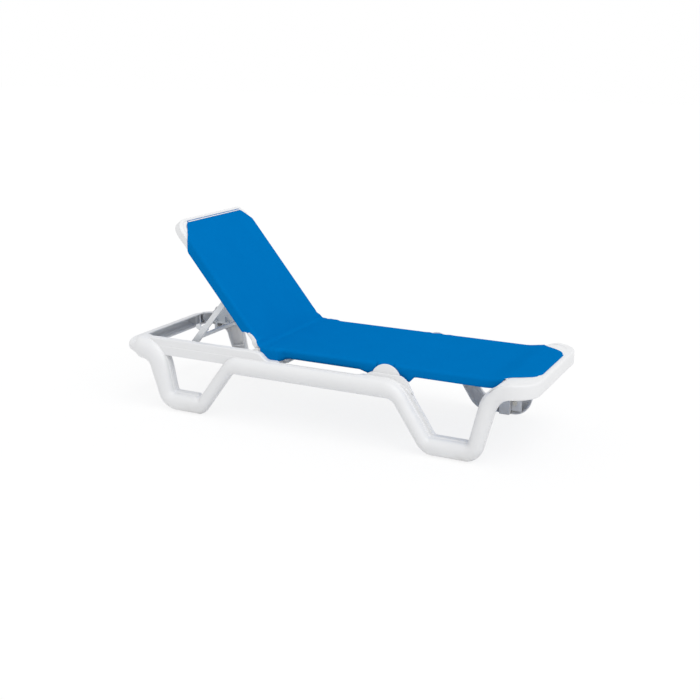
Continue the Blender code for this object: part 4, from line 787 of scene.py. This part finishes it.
def hook_outline(x):
    """A J: a tall wall on the head side, a half-round pocket under the pin, and a short lip."""
    z, pocket, outer = PIN_Z, 0.0075, 0.0115
    wall = round_end(x - pocket, x - outer, z + 0.004, z + 0.020)
    lip = round_end(x + outer, x + pocket, z, z + 0.0025)
    return np.vstack((wall, arc((x, z), outer, 180, 360, 16), lip, arc((x, z), pocket, 360, 180, 14)))


def ratchet_plates():
    """A plate with a thicker lower band, a hanging tab, and a row of hooks that stand proud of it."""
    face, head, foot, low = -0.2897, -0.882, -0.556, 0.246
    outline = [(head, low), (foot, low), (foot, 0.318), (-0.842, 0.318), (-0.868, 0.311), (head, 0.296)]
    shape = plate(softened(outline, 0.004), PLATE_BACK, face - 0.001, 0.0004)
    shape.add(plate(softened(panel(head, foot, low, 0.292), 0.004), PLATE_BACK, face, 0.0006))
    for x in (-0.856, -0.790, -0.724, PIN_X, -0.592):
        shape.add(plate(hook_outline(x), face - 0.0015, face + 0.0127, 0.0006))
    tab = softened(panel(-0.868, -0.852, 0.207, 0.262), 0.003)
    shape.add(plate(tab, PLATE_BACK, face - 0.001, 0.0006))
    pair(shape, "ratchet_plate", "grey_resin", "base")


def bolt(x, z, y):
    """A round head with a socket and the shank behind it: (radius, distance from the face at y)."""
    profile = [
        (0.0, 0.0012), (0.0026, 0.0012), (0.0028, 0.0033), (0.0046, 0.0032), (0.006, 0.0022),
        (0.0065, 0.0008), (0.0065, 0.0003), (0.003, 0.0003), (0.003, -0.016), (0.0, -0.016),
    ]
    return turned_y(profile, x, z, 24, y)


def fasteners():
    """Round-headed bolts with a socket, hinge pins with a chamfered head, and the plugs inside the legs."""
    ear_face, plate_face, pin_face, web_face = -0.2849, -0.2907, -0.293, near_y(0.0393)
    for ear, middle in (("hinge_ear", HINGE[0]), ("middle_ear", MIDDLE_BOLTS_X)):
        pair(bolt(middle - BOLT_SHIFT, BOLT_Z, ear_face), ear + "_head_bolt", "steel", "base")
        pair(bolt(middle + BOLT_SHIFT, BOLT_Z, ear_face), ear + "_foot_bolt", "steel", "base")
    for name, x in zip(("plate_head_screw", "plate_foot_screw"), SCREWS_X):
        pair(bolt(x, SCREW_Z, plate_face), name, "steel", "base")
    pin = [
        (0.0, -0.0009), (0.0058, -0.0009), (0.0064, -0.0006), (0.0066, -0.0002), (0.0066, 0.0), (0.006, 0.0),
        (0.006, 0.0545), (0.0052, 0.0553), (0.0, 0.0553),
    ]
    pair(turned_y(pin, *HINGE, 32, pin_face), "hinge_pin", "steel", "base")
    plug = [
        (0.0, 0.0072), (0.0045, 0.0072), (0.0048, 0.008), (0.008, 0.0078), (0.0095, 0.006), (0.010, 0.004),
        (0.010, 0.0), (0.0, 0.0),
    ]
    for name, middle, side in LEG_FEET:
        shape = turned_y(plug, middle + side * PLUG_SHIFT, PLUG_Z, 36, web_face)
        pair(shape, name + "_plug", "plug_plastic", "base")


def ears():
    """Domed plates inside the side frame that carry the seat rails: each with a rim and, inside, a boss."""
    low, radius, face, boss_face = 0.227, 0.066, -0.2849, -0.2755
    for name, x, top, boss_x, boss_half in (
        ("hinge_ear", HINGE[0], 0.3360, -0.218, 0.020),
        ("middle_ear", 0.332, 0.3445, 0.326, 0.036),
    ):
        dip = math.degrees(math.asin((low - (top - radius)) / radius))
        dome = arc((x, top - radius), radius, dip, 180 - dip, 72)
        dome = np.vstack((dome, np.linspace(dome[-1], dome[0], 24)[1:-1]))
        shape = plate(dome, PLATE_BACK, face, 0.0022)
        boss = softened(block(2 * boss_half, 0.018), 0.008, 6) + (boss_x, PANEL_Z)
        shape.add(plate(boss, face - 0.0006, boss_face, 0.0008))
        shape.add(plate(inset(dome, 0.009), PLATE_BACK - 0.0005, PLATE_BACK + 0.0012, 0.0006))
        pair(shape, name, "white_resin", "base")


def panel_rail(start, end, z):
    """A straight rail under the edge of the cloth, between two places along x."""
    width, height, radius = PANEL_RAIL
    return bar_x(softened(block(width, height), radius, 7), start, end, -PANEL_Y, z, 0.002)


def seat_rails():
    """The seat's side rails, its foot bar, and the cross bars under it."""
    pair(panel_rail(-0.236, 0.8925, PANEL_Z), "seat_rail", "white_resin", "base")
    cross = softened(block(0.030, 0.023), 0.004)
    for name, x in (("seat_hinge_bar", -0.145), ("seat_middle_bar", 0.325)):
        single(bar_y(cross, 0.2727, x, 0.2937), name, "grey_resin", "base")
    foot = softened(block(0.0335, PANEL_RAIL[1]), 0.004)
    single(bar_y(foot, 0.24, 0.90955, PANEL_Z), "seat_foot_bar", "white_resin", "base")


def bow_point(distance):
    """(u, y, heading) along the bow's middle line from the side rail: straight, quarter circle, straight."""
    if distance < BOW_STRAIGHT:
        return BOW_START + distance, BOW_TURN_Y + BOW_RADIUS, 0.0
    turn = min((distance - BOW_STRAIGHT) / BOW_RADIUS, math.pi / 2)
    beyond = max(0.0, distance - BOW_STRAIGHT - BOW_QUARTER)
    u = BOW_TURN_U + BOW_RADIUS * math.sin(turn)
    return u, BOW_TURN_Y + BOW_RADIUS * math.cos(turn) - beyond, turn


def bow_section():
    """The bow's channel: a soft shoulder at the top, a fine groove along it, and a wall open behind."""
    half, top, low, wall = BOW_HALF, 0.0112, -0.028, 0.003
    groove = [(0.0038, top), (0.0032, top - 0.0016), (0.0018, top - 0.0016), (0.0012, top)]
    inside = [(wall - half, low), (wall - half, top - wall), (half - wall, top - wall), (half - wall, low)]
    corners = [(half, low), (half, top)] + groove + [(-half, top), (-half, low)] + inside
    radii = [0.0008, 0.012, 0.0004, 0.0004, 0.0004, 0.0004, 0.008, 0.0008, 0.0008, 0.004, 0.004, 0.0008]
    return softened(corners, radii, 6)


def along_bow(distances):
    """The bow's section carried along its middle line.

    It is a little narrower and lower where it starts under the cloth, and its outer shoulder slants down on
    the way into the corner.
    """
    free, turning, run, shoulder = 0.055, 0.128, 0.035, -0.006
    section = bow_section()
    rings = []
    for distance in distances:
        u, y, heading = bow_point(distance)
        out, up = section.T
        clear = smoothstep((distance - free) / run)
        out, up = out - 0.0022 * (1 - clear) * (out > 0.003), up - 0.0030 * (1 - clear) * (up > 0)
        slant = clear * (1 - smoothstep((distance - turning) / 0.041))
        up = up - 0.011 * slant * smoothstep((out - shoulder) / 0.022) * (up > 0)
        rings.append(np.column_stack((-(u + out * math.sin(heading)), -(y + out * math.cos(heading)), up)))
    return np.array(rings)


def back_frame():
    """The back's side rails with a knuckle at the hinge, its bow, a strip over the cloth's end, and bars."""
    rail_z, bow_end, top_half = PANEL_Z - HINGE[1], BOW_STRAIGHT + BOW_QUARTER, BOW_TURN_Y - SEAM
    corners = [
        (-0.088, -0.012), (-0.055, -0.012), (-0.0395, -0.0225), (0.004, -0.0225), (0.0155, -0.014),
        (0.006, -0.005), (-0.017, -0.0005), (-0.042, 0.0045), (-0.070, 0.0040), (-0.088, -0.004),
    ]
    knuckle = softened(corners, (0.001, 0.004, 0.004, 0.008, 0.005, 0.006, 0.010, 0.012, 0.010, 0.002), 5)
    rail = panel_rail(SEAM - BOW_START, 0.016, rail_z).add(plate(knuckle, -0.2843, -0.2752, 0.0012))
    pair(on_back(rail), "back_rail", "white_resin", "back")
    pair(on_back(Shape().loft(along_bow(np.linspace(0, bow_end, 44)))), "back_corner", "white_resin", "back")
    strip = bar_y(softened(block(0.0042, 0.0022), 0.0006, 3), 0.2110, -0.6472, 0.0144, 0.0008)
    on_back(strip).piece("dressed_head_strip", "white_resin", "back")
    end = along_bow([bow_end + SEAM])[0] * (1, 0, 1)
    rings = [end + np.array((0, y, 0)) for y in np.linspace(-top_half, top_half, 24)]
    single(on_back(Shape().loft(rings)), "back_top_bar", "white_resin", "back")
    cross = softened(block(0.028, 0.022), 0.004)
    for name, u in (("back_low_bar", 0.075), ("back_middle_bar", 0.40)):
        single(on_back(bar_y(cross, 0.2424, -u, rail_z)), name, "grey_resin", "back")


def pivots():
    """The lugs behind the back's rails, and the pins through them that the bracket swings on."""
    radius, top = 0.016, -0.0248
    ends = [(radius - PIVOT_U, top), (-radius - PIVOT_U, top)]
    lug = np.vstack((arc((-PIVOT_U, PIVOT_N), radius, 180, 360, 28), ends))
    pair(on_back(plate(lug, -0.2537, -0.2437, 0.0012)), "support_lug", "grey_resin", "back")
    pin = [
        (0.0, -0.2299), (0.0062, -0.2299), (0.0078, -0.2307), (0.008, -0.232), (0.008, -0.2329),
        (0.004, -0.2329), (0.004, -0.254), (0.0052, -0.254), (0.0048, -0.256), (0.0, -0.256),
    ]
    pair(on_back(turned_y(pin, -PIVOT_U, PIVOT_N, 28)), "support_pivot", "steel", "back")


def bracket():
    """The bracket in its own frame, along -x from its pivots, then turned and moved to where it rests."""
    pivot = tilt(BACK_ANGLE) @ (-PIVOT_U, 0, PIVOT_N) + (HINGE[0], 0, HINGE[1])
    length = math.hypot(pivot[0] - PIN_X, pivot[2] - PIN_Z)
    slope = math.atan2(pivot[2] - PIN_Z, pivot[0] - PIN_X)

    def at_rest(shape):
        return shape.placed(tilt(-slope), pivot)

    def shoe_part(width, height, start, end, edge):
        return bar_x(softened(block(width, height), 0.0045, 5), start - length, end - length, ARM_Y, 0, edge)

    arm_half, arm_end, half_thick = 0.012, 0.1155 - length, 0.0045
    arm = np.vstack((arc((0, 0), arm_half, 90, -90, 24), [(arm_end, -arm_half), (arm_end, arm_half)]))
    arm = plate(arm, ARM_Y - half_thick, ARM_Y + half_thick, 0.0012)
    pair(at_rest(arm), "support_arm", "coated_metal", "support")
    knob_x, knob_z, knob_radius = 0.121 - length, 0.0297, 0.0125
    neck = [(knob_x - 0.009, 0.0148), (knob_x + 0.009, 0.0148)]
    knob = np.vstack((arc((knob_x, knob_z), knob_radius, -20, 200, 40), neck))
    shoe = shoe_part(0.016, 0.030, -0.014, 0.1455, 0.0015)
    shoe.add(plate(knob, ARM_Y - half_thick, ARM_Y + half_thick, 0.002))
    shoe.add(shoe_part(0.0163, 0.0303, 0.1375, 0.146, 0.001))
    pair(at_rest(shoe), "support_shoe", "coated_metal", "support")
    pin = [
        (0.0, -0.2264), (0.007, -0.2264), (0.0085, -0.2272), (0.009, -0.2284), (0.009, -0.2294),
        (0.006, -0.2294), (0.006, -0.2755), (0.005, -0.2765), (0.0, -0.2765),
    ]
    pair(at_rest(turned_y(pin, -length, 0, 28)), "ratchet_pin", "steel", "support")
    strip = softened(block(0.030, 0.007), 0.002, 3)
    for name, along, half in (("support_low_strip", 0.087, 0.2294), ("support_high_strip", 0.267, 0.2329)):
        shape = bar_y(strip, half, along - length, -0.0035, 0.001)
        single(at_rest(shape), name, "coated_metal", "support")


def hung(rows, hang):
    """Rows of the cut with the same straight hang on each."""
    return tuple((place, half, hang) for place, half in rows)


def cut_edge(runs, crease_run, offset):
    """Half of the cut width and the straight hang at each run from the foot edge, by the rows of the cut."""
    seat = np.array(HINGE_FLARE + hung(SIDE_CUT, SEAT_HANG) + MIDDLE_FLARE + hung(FOOT_CUT, SEAT_HANG))[::-1]
    back = np.array(BACK_FLARE + hung(BACK_CUT, BACK_HANG))
    keys = np.concatenate((SLING_FOOT - seat[:, 0], crease_run + back[:, 0] - offset))
    rows = np.vstack((seat, back))
    return np.interp(runs, keys, rows[:, 1]), np.interp(runs, keys, rows[:, 2])


def rolled_cloth(from_crease, across, hang):
    """How far out and how far down the cloth lies, by its distance across in the flat.

    It lies flat to the rails, turns down on a quarter circle, hangs straight and tucks under on a second one.
    Beside the hinge it reaches further out, over the ear.
    """
    over_ear = smoothstep((from_crease + 0.105) / 0.035) * (1 - smoothstep((from_crease - 0.004) / 0.035))
    size = np.abs(across)
    flat, quarter = SLING_HALF + 0.016 * over_ear - SLING_ROLL, SLING_ROLL * np.pi / 2
    turn = np.clip((size - flat) / SLING_ROLL, 0, np.pi / 2)
    past = np.maximum(size - flat - quarter, 0)
    straight = np.minimum(past, hang)
    under = np.clip((past - straight) / SLING_ROLL, 0, np.pi * 0.6)
    out = np.minimum(size, flat) + SLING_ROLL * np.sin(turn) - SLING_ROLL * (1 - np.cos(under))
    return out, SLING_ROLL * (1 - np.cos(turn)) + straight + SLING_ROLL * np.sin(under)


def slack(run, across, out, crease_run):
    """How far the cloth lies below its stretched plane: a cosine squared across times a sine along.

    Shallow pleats, a sine under a bell curve, run out from the crease and from the middle ear to the edge.
    """
    size, away, beside = np.abs(across), run - crease_run, run - SLING_FOOT + 0.332
    middle = np.cos(np.clip(out / 0.25, -1, 1) * np.pi / 2) ** 2
    sag = 0.0035 * middle * np.sin(np.clip(run / crease_run, 0, 1) * np.pi)
    pleats = 0.0014 * np.sin(away * 190 + np.sign(across) * 0.6) * np.exp(-((away / 0.05) ** 2))
    pull = 0.0014 * np.sin(beside * 120) * np.exp(-((beside / 0.07) ** 2))
    return sag + pleats * smoothstep((size - 0.20) / 0.07) + pull * smoothstep((size - 0.235) / 0.04)


def raised_foot(x, size, half):
    """How far the seat rises near the foot: a lift, less at the cut edge and less in the corners."""
    lift = smoothstep((x - 0.745) / 0.105)
    dip = 0.0035 * lift * smoothstep(1 - (half - size) / 0.005)
    droop = 0.0075 * smoothstep((x - 0.900) / 0.045) * smoothstep((size - 0.125) / 0.055)
    return 0.012 * lift - dip - droop


def sling_points():
    """The cloth as one grid over (run from the foot edge, distance across in the flat), wrapped on its rails.

    Along, the foot hem turns down on a small quarter circle, the seat runs level and rises a little near the
    foot, and an arc at the crease leads to the straight back.
    """
    offset = (SEAT_HEIGHT - HINGE[1]) * math.tan(BACK_ANGLE / 2)
    crease_run = SLING_FOOT - HINGE[0] - offset
    head = crease_run + SLING_HEAD - offset
    stretches = (
        (0, 0.02, 14), (0.02, 0.15, 34), (0.15, 0.48, 20), (0.48, 0.76, 70), (0.76, 1.09, 22),
        (1.09, 1.32, 100), (1.32, head - 0.14, 30), (head - 0.14, head, 30),
    )
    runs = np.unique(np.concatenate([np.linspace(*stretch) for stretch in stretches]))
    half, hang = (column[:, None] for column in cut_edge(runs, crease_run, offset))
    across = half * np.sin(np.linspace(-1, 1, 113) * np.pi / 2)
    run = np.repeat(runs[:, None], across.shape[1], 1)
    out, drop = rolled_cloth(run - crease_run, across, hang)
    drop = drop + slack(run, across, out, crease_run)

    bend = 0.012
    level = np.minimum(run, crease_run - bend)
    angle = BACK_ANGLE * np.clip(run - (crease_run - bend), 0, 2 * bend) / (2 * bend)
    curve = 2 * bend / BACK_ANGLE
    beyond = np.maximum(run - crease_run - bend, 0)
    x = SLING_FOOT - level - curve * np.sin(angle) - beyond * math.cos(BACK_ANGLE)
    z = SEAT_HEIGHT + curve * (1 - np.cos(angle)) + beyond * math.sin(BACK_ANGLE)
    z = z + raised_foot(x, np.abs(across), half)

    hem, hem_roll = 0.0114, 0.004
    spare = np.maximum(hem - run, 0)
    rolled = np.minimum(spare / hem_roll, np.pi / 2)
    hanging = np.maximum(spare - hem_roll * np.pi / 2, 0)
    x = x - spare + hem_roll * np.sin(rolled) - drop * np.sin(angle)
    z = z - hem_roll * (1 - np.cos(rolled)) - hanging - drop * np.cos(angle)
    return np.stack((x, np.sign(across) * out, z), -1), across, run, runs, half[:, 0]


def sling_sheet():
    """The cloth in one sheet over seat and back, with its flat layout as its UV map."""
    points, across, run, runs, half = sling_points()
    rows, columns = points.shape[:2]
    row, column = np.meshgrid(np.arange(rows - 1), np.arange(columns - 1), indexing="ij")
    corner = row * columns + column
    quads = np.stack((corner, corner + 1, corner + columns + 1, corner + columns), -1).reshape(-1, 4)
    mesh = bpy.data.meshes.new("dressed_sling")
    mesh.from_pydata(points.reshape(-1, 3), [], quads.tolist())
    uv = np.column_stack((across.reshape(-1), run.reshape(-1)))[quads.reshape(-1)]
    mesh.uv_layers.new(name="UVMap").data.foreach_set("uv", uv.reshape(-1))
    mesh.shade_smooth()
    mesh.materials.append(FINISHES["sling_fabric"])
    obj = bpy.data.objects.new("dressed_sling", mesh)
    bpy.context.scene.collection.objects.link(obj)
    mesh.update()
    if mesh.polygons[len(mesh.polygons) // 3].normal.z < 0:
        mesh.flip_normals()
    solid = obj.modifiers.new("thickness", "SOLIDIFY")
    solid.thickness = CLOTH
    solid.offset = -1
    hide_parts("sling_seat", "sling_back")
    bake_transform(obj)
    area = float(np.sum((half[1:] + half[:-1]) * np.diff(runs)))


def white_floor():
    """A pale floor that shines towards the camera by most of its look, and keeps the chair's shadow."""
    reach, shining = 30, 0.85
    corners = [(-reach, -reach, 0), (reach, -reach, 0), (reach, reach, 0), (-reach, reach, 0)]
    floor = bpy.data.meshes.new("floor")
    floor.from_pydata(corners, [], [(0, 1, 2, 3)])
    ground = bpy.data.objects.new("floor", floor)
    bpy.context.scene.collection.objects.link(ground)
    finish = Finish("floor_white", (0.93, 0.93, 0.93), 0.9)
    bright = finish.node("ShaderNodeEmission", {}, {"Strength": 1.0})
    surface = finish.blend(finish.seen() * shining, Value(finish.tree, finish.shader.outputs[0]), bright)
    finish.feed(finish.tree.nodes["Material Output"], {0: surface})
    floor.materials.append(finish.material)


def white_room():
    """A world that is white to the camera, and an even sky for the light on the chair."""
    world = bpy.data.worlds.new("room")
    bpy.context.scene.world = world
    world.use_nodes = True
    room = Nodes(world.node_tree)
    sky = world.node_tree.nodes["Background"]
    room.feed(sky, {"Color": (0.985, 0.99, 1.0, 1), "Strength": 0.75})
    white = room.node("ShaderNodeBackground", {}, {"Color": (1, 1, 1, 1), "Strength": 1.0})
    surface = room.blend(room.seen(), Value(room.tree, sky.outputs[0]), white)
    room.feed(world.node_tree.nodes["World Output"], {0: surface})


def soft_sun():
    """One wide soft lamp, high on the near side towards the foot end."""
    light = bpy.data.lights.new("lamp", "SUN")
    light.angle = math.radians(50)
    light.energy = 1.38
    lamp = bpy.data.objects.new("lamp", light)
    lamp.rotation_mode = "QUATERNION"
    lamp.rotation_quaternion = Vector((0.45, -0.25, 0.86)).to_track_quat("Z", "Y")
    bpy.context.scene.collection.objects.link(lamp)


def camera():
    """The photograph's view: yaw, pitch and roll of a camera with a 55 mm lens on a 36 mm frame."""
    yaw, pitch, roll, stand = 0.4512, 0.2741, -0.0086, (2.0143, -4.0983, 1.5732)
    focal, picture, sensor = 1071.31, 700.0, 36.0
    ahead = np.array((-math.sin(yaw) * math.cos(pitch), math.cos(yaw) * math.cos(pitch), -math.sin(pitch)))
    level = np.array((math.cos(yaw), math.sin(yaw), 0.0))
    below = np.cross(ahead, level)
    right = math.cos(roll) * level + math.sin(roll) * below
    down = -math.sin(roll) * level + math.cos(roll) * below
    data = bpy.data.cameras.new("camera")
    data.sensor_width = sensor
    data.lens = focal * sensor / picture
    data.clip_end = 200
    eye = bpy.data.objects.new("camera", data)
    matrix = np.eye(4)
    matrix[:3] = np.column_stack((right, -down, -ahead, stand))
    eye.matrix_world = Matrix(matrix.tolist())
    bpy.context.scene.collection.objects.link(eye)
    bpy.context.scene.camera = eye


camera()
white_floor()
white_room()
soft_sun()
bpy.context.scene.view_settings.view_transform = "Standard"
side_frames()
end_bars()
ratchet_plates()
fasteners()
ears()
seat_rails()
back_frame()
pivots()
bracket()
sling_sheet()
